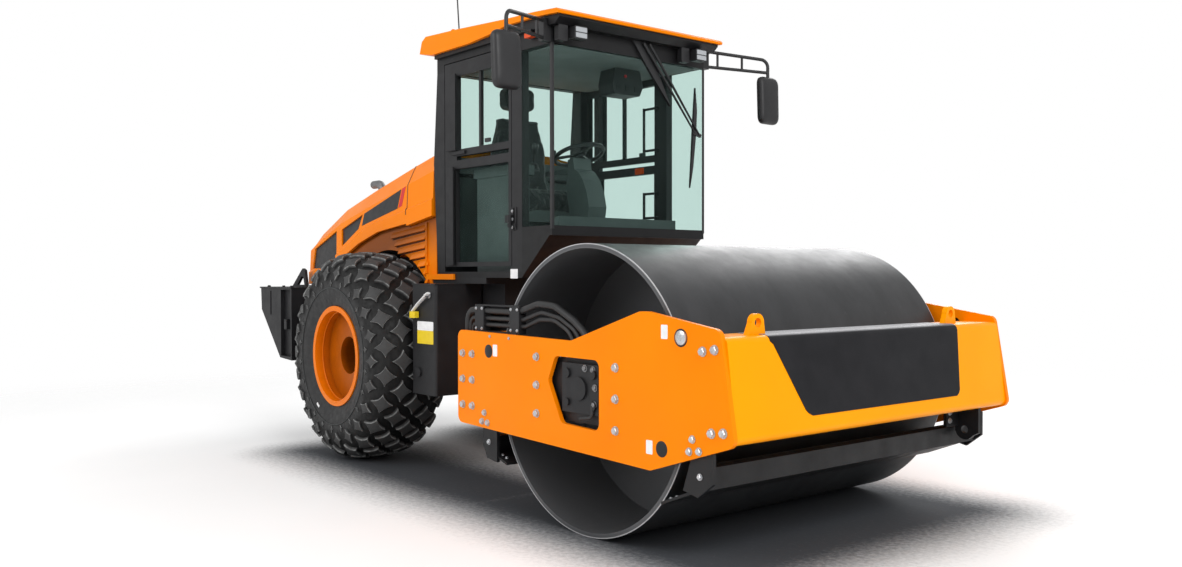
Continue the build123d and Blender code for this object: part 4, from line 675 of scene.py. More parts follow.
# Side plates: place ahead of the drum axle and height
LARGE_BOLTS = ((-1.035, 0.900), (-1.035, 0.749), (-1.035, 0.598), (-0.935, 0.900), (-0.935, 0.749), (-0.935, 0.598),
               (-0.305, 0.921), (-0.305, 0.770), (-0.305, 0.617), (0.343, 0.906), (0.343, 0.752), (0.343, 0.597),
               (0.937, 1.018), (1.010, 1.029), (0.991, 0.659), (1.063, 0.667))
SMALL_BOLTS = ((-0.808, 0.570), (-0.834, 0.518), (-0.777, 0.515), (0.872, 0.619), (0.852, 0.561), (0.914, 0.569))
CLAMP_BOLTS = ((-0.752, 1.010), (-0.564, 1.007))
PLATE_STICKERS = ((0.688, 1.096), (0.585, 0.548), (-0.702, 0.932))
for side, sign in SIDES:
    out, face = (0.0, sign, 0.0), sign * PLATE_Y
    for stem, places, sizes in (("plate_bolts", LARGE_BOLTS, ()), ("bracket_bolts", SMALL_BOLTS, (0.016, 0.019, 0.014)),
                                ("clamp_screws", CLAMP_BOLTS, (0.007, 0.009, 0.007))):
        bolts(f"{stem}_{side}", "front_frame", [(front(x), face, z) for x, z in places], out, *sizes)
    stickers = [tile(front(x) - 0.022, front(x) + 0.022, z - 0.033, z + 0.033, 0.006, face, face + sign * FILM)
                for x, z in PLATE_STICKERS]
    put_mesh(f"plate_stickers_{side}", *joined(stickers), STICKER, "front_frame")

# Black panel of the front beam: it lies on the sloping face and folds back over the top
FACE_LOW, FACE_TOP = (1.118, 0.609), (1.058, 1.085)


def face_x(z, off):
    """Place of the beam's sloping face at a height, moved out along its normal."""
    share = (z - FACE_LOW[1]) / (FACE_TOP[1] - FACE_LOW[1])
    return front(FACE_LOW[0] + share * (FACE_TOP[0] - FACE_LOW[0]) + off * 1.008)


def beam_panel():
    """A grid of rows carried round the beam's top edge: rows up the face, round the fillet, then back over
    the top, each row running between two side lines; the lower corners are rounded by shortening the rows."""
    rows = []
    for z in (0.702, 0.706, 0.716, 0.732, 0.80, 0.95, 1.044):
        rise = (z - 0.702) / (1.085 - 0.702)
        left, right = -0.623 - 0.226 * rise, 0.660 + 0.046 * rise
        short = 0.030 * max(0.0, 1 - (z - 0.702) / 0.030) ** 2
        rows.append((left + short, right - short, face_x(z, 0.0), z))
    for turn in np.linspace(0.15, 1.0, 6) * math.radians(83):
        rows.append((-0.845, 0.704, front(1.0255) + 0.035 * math.cos(turn) * 1.02, 1.050 + 0.035 * math.sin(turn)))
    rows.append((-0.849, 0.706, front(0.870), 1.085))
    inner = [[(x, left + (right - left) * u, z) for u in np.linspace(0, 1, 9)] for left, right, x, z in rows]
    inner = np.array(inner)
    lift = np.zeros_like(inner)
    step = np.gradient(inner[:, :, (0, 2)], axis=0)
    step /= np.linalg.norm(step, axis=2)[..., None]
    lift[:, :, 0], lift[:, :, 2] = step[..., 1], -step[..., 0]
    both = np.stack([inner + lift * 0.0006, inner + lift * 0.0035])
    count, wide = inner.shape[:2]
    outside = wrap_faces(count, wide)
    faces = [tuple(f) for f in outside] + [tuple(f + count * wide) for f in outside]
    edge = [(i, 0) for i in range(count)] + [(count - 1, j) for j in range(1, wide)]
    edge += [(i, wide - 1) for i in range(count - 2, -1, -1)] + [(0, j) for j in range(wide - 2, 0, -1)]
    ring = [i * wide + j for i, j in edge]
    faces += [(a, b, b + count * wide, a + count * wide) for a, b in zip(ring, ring[1:] + ring[:1])]
    return both.reshape(-1, 3), faces


put_mesh("beam_panel", *beam_panel(), SHEET, "front_frame")

# Tie-down plate's angle and the scrapers
bolts("tow_bolts", "front_frame", [(front(0.960), 0.800, z) for z in (0.535, 0.580)], (1, 0, 0), 0.012, 0.016, 0.011)
scraper_bolts = []
for sign in (-1.0, 1.0):
    out = (0.0, sign, 0.0)
    for x, z in ((0.895, 0.449), (-0.800, 0.400)):
        scraper_bolts += hex_bolt((front(x), sign * 1.125, z), out, 0.012, 0.016, 0.012)
    for x, z in ((0.660, 0.304), (0.700, 0.318), (-0.690, 0.314), (-0.730, 0.326)):
        scraper_bolts += hex_bolt((front(x), sign * 1.080, z), (0, 0, 1), 0.008, 0.011, 0.010)
put_mesh("scraper_bolts", *joined(scraper_bolts), ZINC, "front_frame", 0.5)

# Hose clamps: end plates and screws over the blocks
bolts("clamp_bolts", "front_frame",
      [(front(middle + off), -1.120, z) for middle in (-0.908, -0.557) for off in (-0.030, 0.030)
       for z in (1.050, 1.166)], (0, -1, 0), 0.006, 0.009, 0.008)
collars = []
for radius, x, z in ((0.019, -0.020, 0.960), (0.013, -0.090, 0.955), (0.013, -0.160, 0.955)):
    collars.append(turned([(0.0, radius + 0.003), (0.003, radius + 0.006), (0.030, radius + 0.006),
                           (0.033, radius + 0.003)], (front(x), HOSE_Y, z - 0.028), (0, 0, 1), 24))
put_mesh("hose_collars", *joined(collars), ZINC, "front_frame")

# ------------------------------------------------------------------ rear body trim
# Hood decal: blank black band with a red front edge, on the right and left sides
DECAL = ((-0.367, 1.839), (0.232, 1.993), (0.182, 1.852), (-0.401, 1.744))
STRIPE = ((0.246, 1.996), (0.300, 2.010), (0.250, 1.868), (0.196, 1.856))
HOOD_SIDE = ((-0.811, 0.632), (-0.313, 0.640), (0.335, 0.648))  # place from the rear axle, half width
HOOD_LIPS = ((-0.811, 1.548, 1.773), (-0.313, 1.746, 1.882), (0.335, 1.847, 2.019))  # lip's top and side's top


def hood_film(outline, sign, off):
    """A thin film on the hood's side: each point keeps its place and height, and stands off from the side's
    own surface, whose half width falls by 8 mm from the lip to the side's top."""
    points = []
    for layer in (off, off + FILM):
        for x, z in outline:
            half = np.interp(x, *zip(*HOOD_SIDE))
            low = np.interp(x, [r[0] for r in HOOD_LIPS], [r[1] for r in HOOD_LIPS])
            top = np.interp(x, [r[0] for r in HOOD_LIPS], [r[2] for r in HOOD_LIPS])
            points.append((rear(x), sign * (half - 0.008 * (z - low) / (top - low) + layer), z))
    count = len(outline)
    faces = [tuple(f) for f in wrap_faces(2, count, round_columns=True)]
    return np.array(points), faces + [tuple(range(count - 1, -1, -1)), tuple(range(count, 2 * count))]


for side, sign in SIDES:
    put_mesh(f"hood_band_{side}", *hood_film(DECAL, sign, 0.0006), PANEL_BLACK, "hood")
    put_mesh(f"hood_stripe_{side}", *hood_film(STRIPE, sign, 0.0006), RED, "hood")
    white = tile(rear(0.876), rear(1.084), 0.985, 1.046, 0.008, sign * TANK_FACE, sign * 0.8812)
    lower = tile(rear(0.876), rear(1.084), 0.895, 0.986, 0.008, sign * TANK_FACE, sign * 0.8810)
    put_mesh(f"tank_label_top_{side}", *white, STICKER, "rear_frame")
    put_mesh(f"tank_label_low_{side}", *lower, YELLOW, "rear_frame")
    lever = carried_ring([(rear(0.855), sign * 0.905, 1.115), (rear(0.93), sign * 0.905, 1.165),
                          (rear(1.06), sign * 0.905, 1.238)], (0.014, 0.015, 0.017), 12, 0.5)
    put_mesh(f"lock_lever_{side}", *lever, STICKER, "rear_frame")
    grip = tile(rear(0.835), rear(0.905), 1.068, 1.112, 0.006, sign * 0.886, sign * 0.918)
    put_mesh(f"lever_grip_{side}", *grip, YELLOW, "rear_frame")
    bolts(f"lever_pivot_{side}", "rear_frame", [(rear(1.03), sign * TANK_FACE, 1.222)], (0, sign, 0), 0.014, 0.020,
          0.036)
    # Hinge leaves of the door, with their screws
    leaf = tile(rear(1.652), rear(1.702), 1.640, 1.784, 0.010, sign * 0.650, sign * 0.656)
    put_mesh(f"door_leaf_{side}", *leaf, BLACK, "rear_frame")
    bolts(f"leaf_screws_{side}", "rear_frame", [(rear(1.680), sign * 0.656, z) for z in (1.662, 1.712, 1.762)],
          (0, sign, 0), 0.007, 0.010, 0.008)

# ------------------------------------------------------------------ wheels, arches and hood details
HUB_BOLTS, HUB_CIRCLE = 12, 0.100  # how many, and the radius they stand on
BLOCK_BOLTS = ((0.085, 0.884), (0.150, 0.880), (0.165, 0.790), (0.160, 0.705))
BUMPER_BOLTS = ((-1.230, 0.860), (-1.390, 0.860), (-1.700, 0.860), (-1.700, 0.500))
# Black discs of painted shade over the side plate's holes: place ahead of the drum axle, height, radius
HOLE_SHADES = ((0.797, 1.073, 0.042), (0.670, 0.549, 0.038), (-0.766, 0.925, 0.038))
LOUVRE_Z = (1.668, 1.605, 1.542, 1.479, 1.414, 1.351, 1.288)


def ring_plate(centre, inner, outer, start, end, steps=40):
    """An outline of a flat ring's part between two angles, measured from straight up towards the front."""
    turn = np.radians(np.linspace(start, end, steps))
    arc = np.stack([np.sin(turn), np.cos(turn)], -1)
    return np.concatenate([arc * outer, arc[::-1] * inner]) + np.asarray(centre)


def louvre(sign, start, z, section):
    """One ledge of the panel over the wheel: a four-sided section, outwards from the panel and above the ledge's
    foot, drawn along the machine from a start behind the arch to the panel's rib, falling by a tenth to the rear."""
    ring = [(sign * (PANEL_FACE + out), z + up) for out, up in section]
    points, faces = slab(ring, rear(start), rear(0.562), "x")
    points[:, 2] -= 0.10 * (rear(0.480) - points[:, 0])
    return points, faces


for side, sign in SIDES:
    out = (0.0, sign, 0.0)
    wheel = f"wheel_{side}"
    hub_at = (AXLE_X, sign * TRACK_Y, TYRE_R)
    hub = turned([(-0.060, 0.1372), (0.020, 0.1372), (0.034, 0.128), (0.036, 0.062), (0.052, 0.058), (0.054, 0.050)],
                 hub_at, out, 64)
    put_mesh(f"hub_{side}", *hub, BLACK, wheel)
    turns = [2 * math.pi * k / HUB_BOLTS for k in range(HUB_BOLTS)]
    bolts(f"hub_bolts_{side}", wheel, [(AXLE_X + HUB_CIRCLE * math.sin(turn), sign * (TRACK_Y + 0.034),
                                        TYRE_R + HUB_CIRCLE * math.cos(turn)) for turn in turns],
          out, 0.009, 0.012, 0.010, BLACK)
    bead_turn = np.linspace(0, 2 * math.pi, 12, endpoint=False)
    beads = [turned(np.stack([at + 0.006 * np.cos(bead_turn), radius + 0.006 * np.sin(bead_turn)], -1), hub_at, out, 96,
                    closed=True) for at, radius in ((0.262, 0.337), (0.205, 0.328))]
    put_mesh(f"rim_beads_{side}", *joined(beads), RIM_PAINT, wheel)
    tab = slab(rounded(((AXLE_X - 0.075, 0.452), (AXLE_X + 0.090, 0.452), (AXLE_X + 0.050, 0.572),
                        (AXLE_X - 0.030, 0.572)), 0.024), sign * (TRACK_Y + 0.120), sign * (TRACK_Y + 0.134))
    put_mesh(f"valve_guard_{side}", *tab, RIM_PAINT, wheel)
    bolts(f"valve_{side}", wheel, [(AXLE_X + 0.008, sign * (TRACK_Y + 0.134), 0.540)], out, 0.010, 0.014, 0.012)
    lean = math.radians(32.6)
    mark = np.array(oblong(-0.022, 0.022, -0.008, 0.008)) @ np.array(((math.cos(lean), -math.sin(lean)),
                                                                     (math.sin(lean), math.cos(lean))))
    patch = slab(mark + (AXLE_X - 0.244, 0.384), sign * 1.0800, sign * 1.0868)
    put_mesh(f"balance_mark_{side}", *patch, STICKER, wheel)
    # Raised line round the tyre's wall
    bead = np.stack([0.2935 + 0.0025 * np.cos(bead_turn), 0.500 + 0.0035 * np.sin(bead_turn)], -1)
    put_mesh(f"sidewall_line_{side}", *turned(bead, hub_at, out, 128, closed=True), GREY, wheel)
    # Strip that closes the side panel's arch down to the tyre, with the panel's louvres above it
    strip = slab(ring_plate((AXLE_X, TYRE_R), 0.783, 0.850, -46, 52), sign * 0.600, sign * 0.6196)
    put_mesh(f"arch_strip_{side}", *strip, PANEL_ORANGE, "rear_frame")
    ledges, slot_shades = [], []
    for z in LOUVRE_Z:
        start = max(math.sqrt(0.795 ** 2 - (z - TYRE_R) ** 2) if z < 1.55 else 0.0, 0.060 + 0.9 * (LOUVRE_Z[0] - z))
        ledges.append(louvre(sign, start, z, ((-0.002, 0.000), (0.020, 0.004), (0.017, 0.016), (-0.002, 0.050))))
        # Under each ledge a brown strip of painted shade stands for the open slot
        slot_shades.append(louvre(sign, start + 0.010, z, ((-0.002, -0.008), (0.0015, -0.008), (0.0015, 0.002),
                                                     (-0.002, 0.002))))
    put_mesh(f"louvre_ledges_{side}", *joined(ledges), PANEL_ORANGE, "rear_frame")
    put_mesh(f"louvre_slot_shades_{side}", *joined(slot_shades), SLOT_SHADE, "rear_frame")
    # Upstand on the panel's top edge, inside the hood's lip
    upstand = slab([(rear(x), z) for x, z in ((0.300, 1.690), (-0.114, 1.650), (-0.383, 1.580), (-0.593, 1.500),
                                              (-0.690, 1.465), (-0.690, 1.545), (-0.593, 1.590), (-0.383, 1.670),
                                              (-0.114, 1.740), (0.300, 1.785))], sign * 0.596, sign * 0.606)
    put_mesh(f"panel_upstand_{side}", *upstand, PANEL_ORANGE, "rear_frame")
    # Rubber seal round the hood's front edge
    seal = [(rear(0.331), sign * y, z) for y, z in ((0.661, 1.800), (0.6605, 1.836), (0.648, 1.850), (0.640, 2.019),
                                                    (0.573, 2.157), (0.358, 2.187), (0.0, 2.188))]
    put_mesh(f"hood_seal_{side}", *carried_ring(rounded_route(seal, 0.01), 0.0032, 8), PANEL_BLACK, "rear_frame")
    # Black discs over the plate's holes: painted shade standing for the dark inside them
    hole_shades = []
    for x, z, radius in HOLE_SHADES:
        hole_shades.append(turned([(0.0, radius), (0.0012, radius), (0.0018, radius - 0.001)],
                            (front(x), sign * PLATE_Y, z), out, 40))
    put_mesh(f"hole_shade_discs_{side}", *joined(hole_shades), BLACK, "front_frame")
    head = turned([(0.001, 0.034), (0.009, 0.034), (0.013, 0.028), (0.014, 0.012), (0.012, 0.010)],
                  (front(0.803), sign * PLATE_Y, 1.074), out, 40)
    put_mesh(f"pin_head_{side}", *head, ZINC, "front_frame")
    # Fittings on the drum motor's block
    bolts(f"block_bolts_{side}", "front_frame", [(front(x), sign * BLOCK_FACE, z) for x, z in BLOCK_BOLTS], out,
          0.014, 0.019, 0.013, EXHAUST)
    pipe = carried_ring(rounded_route([(front(0.150), sign * 1.139, 0.700), (front(0.150), sign * 1.139, 0.640),
                                       (front(0.050), sign * 1.139, 0.625)], 0.03), 0.009, 12)
    put_mesh(f"block_pipe_{side}", *pipe, HOSE, "front_frame")
    bolts(f"bumper_bolts_{side}", "rear_frame", [(rear(x), sign * y, BUMPER_TOP) for x, y in BUMPER_BOLTS], (0, 0, 1),
          0.013, 0.017, 0.013, BLACK)

# ------------------------------------------------------------------ cab, outside
for side, sign in SIDES:
    out = (0.0, sign, 0.0)
    x, y = CAB_FRONT, sign * CAB_Y
    corner = ((x - 0.016, y), (x - 0.016, y + sign * 0.003), (x + 0.003, y + sign * 0.003),
              (x + 0.003, y - sign * 0.016), (x, y - sign * 0.016), (x, y))
    put_mesh(f"pane_edge_{side}", *slab(corner, 1.640, 2.758, "z"), PLASTIC, "rear_frame")
    notice = tile(rear(1.648), rear(1.728), 1.336, 1.396, 0.005, y, y + sign * FILM)
    put_mesh(f"skirt_sticker_{side}", *notice, STICKER, "rear_frame")
    marker = tile(rear(1.872), rear(1.942), 2.812, 2.842, 0.008, sign * 0.662, sign * 0.700)
    put_mesh(f"side_marker_{side}", *marker, SIGNAL, "rear_frame")
    foot = slab(oblong(rear(1.887), rear(1.927), 2.840, 2.864), sign * 0.664, sign * 0.690)
    put_mesh(f"marker_foot_{side}", *foot, BLACK, "rear_frame")
    stile = [slab(oblong(rear(0.912), rear(1.036), 2.205, 2.725), sign * DOOR_SKIN[0], sign * DOOR_SKIN[1]),
             slab(oblong(rear(0.912), rear(1.004), 1.425, 2.095), sign * DOOR_SKIN[0], sign * DOOR_SKIN[1])]
    put_mesh(f"door_stile_{side}", *joined(stile), BLACK, f"door_{side}")
    latch = tile(rear(1.405), rear(1.465), 2.222, 2.248, 0.006, sign * 0.672, sign * 0.682)
    put_mesh(f"door_latch_{side}", *latch, PLASTIC, f"door_{side}")

repeater = tile(rear(1.425), rear(1.520), 2.086, 2.130, 0.006, 0.612, 0.640)
put_mesh("door_repeater", *repeater, SIGNAL, "door_left")

# ------------------------------------------------------------------ mirrors
# Mirrors: a crowned shell hung from a bent tube, with a lower tube, two rungs and a bracket at the cab's corner
def crowned(outline, middle, levels):
    """A shell: an outline in the upright plane across the machine, drawn in about its middle by each level's
    share and set at that level's place along the machine."""
    outline, middle = np.asarray(outline, float), np.asarray(middle, float)
    rows = np.array([[(x, *(middle + (corner - middle) * share)) for corner in outline] for x, share in levels])
    count = len(outline)
    faces = [tuple(f) for f in wrap_faces(len(levels), count, round_columns=True)]
    last = (len(levels) - 1) * count
    faces += [tuple(range(count - 1, -1, -1)), tuple(range(last, last + count))]
    return rows.reshape(-1, 3), faces


SHELL = ((-0.020, 0.960), (-0.017, 0.990), (-0.010, 1.0), (0.004, 1.0), (0.014, 0.975), (0.022, 0.925), (0.028, 0.850),
         (0.032, 0.740), (0.034, 0.560), (0.035, 0.300))
arms = []
for side, sign in SIDES:
    x, y = rear(2.262), sign * 1.105
    foot, tip = np.array((rear(2.060), sign * 0.695, 0.0)), np.array((x, y, 0.0))
    high, low = ((0, 0, 2.890), (0, 0, 2.848)), ((0, 0, 2.785), (0, 0, 2.762))
    arms.append(carried_ring(rounded_route([foot + high[0], tip + high[1], (x, y, 2.700)], 0.055), 0.0115, 16))
    arms.append(carried_ring([foot + low[0], (foot + tip) / 2 + (0, 0, 2.7735), tip + low[1]], 0.0110, 16))
    for share in (0.19, 0.58):
        at = foot + share * (tip - foot)
        ends = [at + np.array(a) + share * (np.array(b) - a) for a, b in (low, high)]
        arms.append(carried_ring([ends[0], (ends[0] + ends[1]) / 2, ends[1]], 0.0085, 12))
    for y0, z0, z1 in ((0.650, 2.765, 2.858), (0.677, 2.858, 2.902)):
        arms.append(slab(oblong(sign * y0, sign * 0.707, z0, z1), rear(2.030), rear(2.080), "x"))
    outline = rounded(((y - 0.098, 2.731), (y + 0.092, 2.731), (y + 0.100, 2.405), (y - 0.086, 2.405)), 0.050, 9)
    put_mesh(f"mirror_shell_{side}", *crowned(outline, (y, 2.570), [(x + at, share) for at, share in SHELL]), PLASTIC,
             "rear_frame", 0.9)
mirror_arms = put_mesh("mirror_arms", *joined(arms), PLASTIC, "rear_frame")
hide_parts("mirrors")

# ------------------------------------------------------------------ cab lining
# Linings inside the cab: behind the seat, and a ledge under the rear pane
wall = rear(0.791)
lining = [tile(-0.540, 0.540, 1.440, 2.050, 0.030, wall, wall + 0.012, "x"),
          tile(-0.560, 0.560, 2.070, 2.180, 0.010, wall, wall + 0.070, "x")]
put_mesh("rear_lining", *joined(lining), TRIM, "rear_frame")

# ------------------------------------------------------------------ wiper
# Wiper: two arms side by side from the header, a link, a lens-shaped blade and the tapering cover plate
cover = slab(((-0.011, 2.862), (0.100, 2.862), (0.185, 2.739), (0.256, 2.598), (0.322, 2.471), (0.185, 2.622),
              (0.070, 2.757)), rear(2.085), rear(2.104), "x")
blade = slab(((0.554, 2.619), (0.541, 2.467), (0.530, 2.318), (0.518, 2.129), (0.505, 1.943), (0.533, 2.077),
              (0.562, 2.321), (0.569, 2.470)), rear(2.088), rear(2.104), "x")
link = slab(rounded(((0.521, 2.337), (0.606, 2.306), (0.596, 2.284), (0.521, 2.303)), 0.006), rear(2.102),
            rear(2.112), "x")
shafts = []
for y0, y1, z1 in ((0.068, 0.536, 2.316), (0.120, 0.584, 2.300)):
    stops = [(rear(2.118), y0, 2.850), (rear(2.116), (y0 + y1) / 2, (2.850 + z1) / 2), (rear(2.112), y1, z1)]
    shafts.append(carried_ring(stops, (0.0100, 0.0085, 0.0060), 12))
wiper_set = put_mesh("wiper_set", *joined([cover, blade, link] + shafts), PLASTIC, "rear_frame")
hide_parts("wiper")

# Overhead box with its small red light, hung from the roof lining
pod = slab(rounded(((0.100, 2.575), (0.330, 2.575), (0.360, 2.640), (0.330, 2.750), (0.110, 2.750), (0.085, 2.640)),
                   0.014), rear(1.640), rear(1.790), "x")
put_mesh("overhead_box", *pod, PLASTIC, "rear_frame")
light = turned([(0.0, 0.011), (0.006, 0.009), (0.009, 0.004)], (rear(1.790), 0.200, 2.700), (1, 0, 0), 20)
put_mesh("overhead_light", *light, RED, "rear_frame")
vents = [slab(oblong(y, y + 0.034, 2.600, 2.640), rear(1.790), rear(1.794), "x") for y in (0.120, 0.200, 0.280)]
put_mesh("overhead_vents", *joined(vents), BLACK, "rear_frame")
ceiling = tile(rear(0.900), rear(2.060), -0.600, 0.600, 0.040, 2.7520, 2.7580, "z")
put_mesh("headliner", *ceiling, LINING, "rear_frame")

# ------------------------------------------------------------------ work lamps
# Work lamps: ribbed black housing, square lens behind a frame, on a stirrup
lamp_black, lamp_glass = [], []
for y in (-0.513, 0.513):
    back, face = rear(2.146), rear(2.199)
    square = rounded(oblong(y - 0.050, y + 0.050, 2.778, 2.856), 0.012)
    lamp_black.append(slab(square, back, face, "x"))
    for k in range(5):
        rib = rounded(oblong(y - 0.046 + 0.020 * k, y - 0.040 + 0.020 * k, 2.786, 2.850), 0.002)
        lamp_black.append(slab(rib, back - 0.012, back + 0.004, "x"))
    for z0, z1 in ((2.786, 2.8145), (2.8205, 2.849)):
        lens_row = rounded(oblong(y - 0.043, y + 0.043, z0, z1), 0.004)
        lamp_glass.append(slab(lens_row, face - 0.002, face + 0.004, "x"))
    bracket = rounded(oblong(y - 0.135, y - 0.062, 2.765, 2.862), 0.014)
    lamp_black.append(slab(bracket, rear(2.110), rear(2.150), "x"))
    lamp_black.append(slab(oblong(y - 0.022, y + 0.022, 2.842, 2.8595), rear(2.138), rear(2.152), "x"))
lamps = put_mesh("lamp_housings", *joined(lamp_black), PLASTIC, "rear_frame", 0.5)
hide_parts("work_lamps")
put_mesh("lamp_lenses", *joined(lamp_glass), LENS, "rear_frame")

# Joystick by the seat with its folded boot
boot = turned([(0.0, 0.045), (0.010, 0.038), (0.018, 0.040), (0.028, 0.031), (0.036, 0.033), (0.046, 0.022),
               (0.052, 0.014)], (rear(1.420), -0.300, 2.060), (0.1, 0, 1), 32)
stick = carried_ring([(rear(1.424), -0.300, 2.100), (rear(1.430), -0.300, 2.160), (rear(1.434), -0.300, 2.190),
                      (rear(1.438), -0.300, 2.225), (rear(1.440), -0.300, 2.245)],
                     (0.008, 0.008, 0.020, 0.026, 0.014), 20)
put_mesh("joystick", *joined([boot, stick]), PLASTIC, "rear_frame", 0.9)

# ------------------------------------------------------------------ seat
def swollen(node, cap, pressure=4.0, shrink=0.965):
    """A padded piece: the solid's shape, a little smaller, remeshed and blown up by cloth under inner
    pressure, no point moving further than the cap."""
    source = frame["nodes"][node]
    low, high = (np.array(corner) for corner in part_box(node))
    middle = (low + high) / 2
    mesh = source.data.copy()
    mesh.name = f"{node}_pad"
    mesh.materials.clear()
    mesh.materials.append(CLOTH)
    points = np.empty(len(mesh.vertices) * 3)
    mesh.vertices.foreach_get("co", points)
    points = (points.reshape(-1, 3) - middle) * shrink + middle
    mesh.vertices.foreach_set("co", points.ravel())
    bm = bmesh.new()
    bm.from_mesh(mesh)
    bmesh.ops.remove_doubles(bm, verts=bm.verts, dist=0.0002)
    bm.to_mesh(mesh)
    bm.free()
    pad = bpy.data.objects.new(f"{node}_pad", mesh)
    bpy.context.scene.collection.objects.link(pad)
    bpy.context.view_layer.objects.active = pad
    remesh = pad.modifiers.new("remesh", "REMESH")
    remesh.mode = "VOXEL"
    remesh.voxel_size = 0.007
    apply_modifiers(pad)
    start = read_points(pad.data)
    cloth = pad.modifiers.new("cloth", "CLOTH")
    cloth.settings.use_pressure = True
    cloth.settings.uniform_pressure_force = pressure
    cloth.settings.effector_weights.gravity = 0.0
    cloth.settings.tension_stiffness = 12.0
    for step in range(1, 21):
        bpy.context.scene.frame_set(step)
    apply_modifiers(pad)
    bpy.context.scene.frame_set(1)
    moved = read_points(pad.data) - start
    far = np.linalg.norm(moved, axis=1)[:, None]
    moved *= np.minimum(1.0, cap / np.maximum(far, 1e-9))
    pad.data.vertices.foreach_set("co", (start + moved).ravel())
    smooth = pad.modifiers.new("smooth", "SUBSURF")
    smooth.levels = smooth.render_levels = 1
    for face in pad.data.polygons:
        face.use_smooth = True
    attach(pad, "rear_frame")
    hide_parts(node)
    return pad


def read_points(mesh):
    """The mesh's points as one array."""
    points = np.empty(len(mesh.vertices) * 3)
    mesh.vertices.foreach_get("co", points)
    return points.reshape(-1, 3)


def apply_modifiers(piece):
    """The piece's modifiers worked into its own mesh."""
    graph = bpy.context.evaluated_depsgraph_get()
    graph.update()
    result = bpy.data.meshes.new_from_object(piece.evaluated_get(graph))
    piece.modifiers.clear()
    old = piece.data
    piece.data = result
    bpy.data.meshes.remove(old)


swollen("seat_cushion", 0.024)
swollen("seat_back", 0.024)
swollen("headrest", 0.016)

# ------------------------------------------------------------------ stage
def studio_floor():
    """Pale floor: a painted shadow, a soft dark pool under the machine, measured as the distance outside its
    footprint, and far out the floor clears away into the white round it."""
    t = Tree("studio_floor")
    side = t.math("ABSOLUTE", t.axis("Y"))
    shadow_pools = []
    for x_middle, x_half, y_middle, y_half in ((1.78, 0.95, 0.0, 1.00), (-0.45, 1.15, 0.80, 0.20)):
        over_x = t.math("SUBTRACT", t.math("ABSOLUTE", t.math("SUBTRACT", t.axis("X"), x_middle)), x_half)
        over_y = t.math("SUBTRACT", t.math("ABSOLUTE", t.math("SUBTRACT", side, y_middle)), y_half)
        over_x, over_y = t.math("MAXIMUM", over_x), t.math("MAXIMUM", over_y)
        shadow_pools.append(t.apart(over_x, over_y))
    far = t.math("MINIMUM", *shadow_pools)
    grain = t.drift(34.0, 6.0, -0.07, 0.07, 0.7)
    painted_shadow = t.add("ShaderNodeMapRange", interpolation_type="SMOOTHSTEP")
    for socket, number in (("Value", t.math("ADD", far, grain)), ("From Min", 0.0), ("From Max", 0.68)):
        t.put(painted_shadow, socket, number)
    tone = t.blend(t.drift(0.5), rgb(252, 252, 252), rgb(255, 255, 255))
    # The dark colour is painted shadow under the drum and along the wheels
    body = t.blend(painted_shadow.outputs["Result"], rgb(74, 76, 80), tone)
    t.finish(body, t.drift(2.0, 4.0, 0.75, 0.85), None, Specular_IOR_Level=0.1)
    reach = t.apart(t.axis("X"), t.axis("Y"))
    clear = t.add("ShaderNodeMapRange", interpolation_type="SMOOTHSTEP")
    for socket, number in (("Value", reach), ("From Min", 4.5), ("From Max", 9.0)):
        t.put(clear, socket, number)
    return t.see_through(clear.outputs["Result"])


FLOOR_HALF = 12.0
floor_mesh = bpy.data.meshes.new("studio_floor")
floor_mesh.from_pydata([(-FLOOR_HALF, -FLOOR_HALF, 0), (FLOOR_HALF, -FLOOR_HALF, 0), (FLOOR_HALF, FLOOR_HALF, 0),
                        (-FLOOR_HALF, FLOOR_HALF, 0)], [], [(0, 1, 2, 3)])
floor_mesh.materials.append(studio_floor())
floor = bpy.data.objects.new("studio_floor", floor_mesh)
bpy.context.scene.collection.objects.link(floor)
floor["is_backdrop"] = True

# White all round: dimmer as a light than as what the camera sees
WHITE = (1.0, 1.0, 1.0, 1.0)
world = bpy.data.worlds.new("studio")
bpy.context.scene.world = world
world.use_nodes = True
w_nodes, w_links = world.node_tree.nodes, world.node_tree.links
sky = w_nodes["Background"]
sky.inputs["Color"].default_value = WHITE
sky.inputs["Strength"].default_value = 0.72
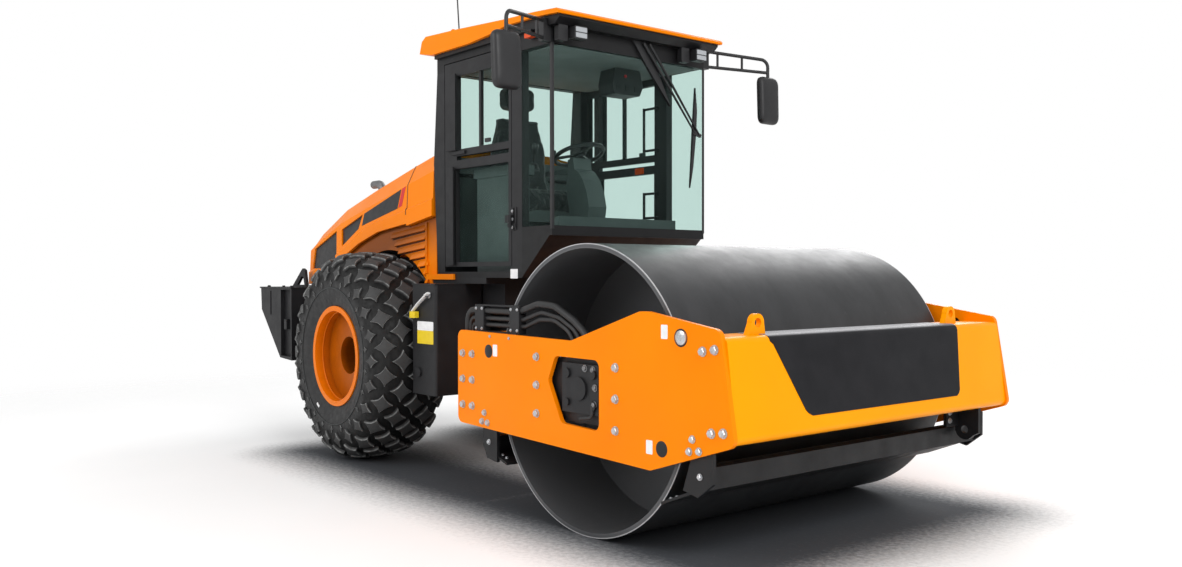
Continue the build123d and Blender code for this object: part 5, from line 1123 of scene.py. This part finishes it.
white = w_nodes.new("ShaderNodeBackground")
white.inputs["Color"].default_value = WHITE
white.inputs["Strength"].default_value = 1.0
rays = w_nodes.new("ShaderNodeLightPath")
seen = w_nodes.new("ShaderNodeMath")
seen.operation = "MAXIMUM"
w_links.new(rays.outputs["Is Camera Ray"], seen.inputs[0])
w_links.new(rays.outputs["Is Transmission Ray"], seen.inputs[1])
w_mix = w_nodes.new("ShaderNodeMixShader")
w_links.new(seen.outputs[0], w_mix.inputs[0])
w_links.new(sky.outputs[0], w_mix.inputs[1])
w_links.new(white.outputs[0], w_mix.inputs[2])
w_links.new(w_mix.outputs[0], w_nodes["World Output"].inputs["Surface"])


def lamp(name, place, target, size, power):
    """A square soft lamp at a place, turned to a target."""
    light = bpy.data.lights.new(name, "AREA")
    light.size = size
    light.energy = power
    holder = bpy.data.objects.new(name, light)
    bpy.context.scene.collection.objects.link(holder)
    holder.location = place
    aim = holder.location.__class__(target) - holder.location
    holder.rotation_euler = aim.to_track_quat("-Z", "Y").to_euler()


lamp("front", (8.5, -2.5, 5.5), (0.8, 0.0, 1.0), 4.0, 330.0)
lamp("side", (-1.0, -8.5, 5.5), (0.3, 0.0, 1.0), 5.0, 260.0)
lamp("rim", (-3.5, 8.5, 6.0), (0.3, 0.0, 1.2), 6.0, 480.0)

# ------------------------------------------------------------------ camera
EYE = (DRUM_X + 4.204, -4.4764, 1.3653)  # metres
FOCAL, SENSOR = 31.81, 36.0  # millimetres
SHIFT = (-0.0062, 0.0058)
YAW = math.radians(140.2)
PITCH = -0.0159
ROLL = 0.0014
camera_data = bpy.data.cameras.new("camera")
camera_data.sensor_width = SENSOR
camera_data.lens = FOCAL
camera_data.shift_x, camera_data.shift_y = SHIFT
camera = bpy.data.objects.new("camera", camera_data)
bpy.context.scene.collection.objects.link(camera)
camera.location = EYE
camera.rotation_euler = (math.pi / 2 + PITCH, ROLL, YAW - math.pi / 2)
bpy.context.scene.camera = camera
bpy.context.scene.view_settings.view_transform = "Standard"

low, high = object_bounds()
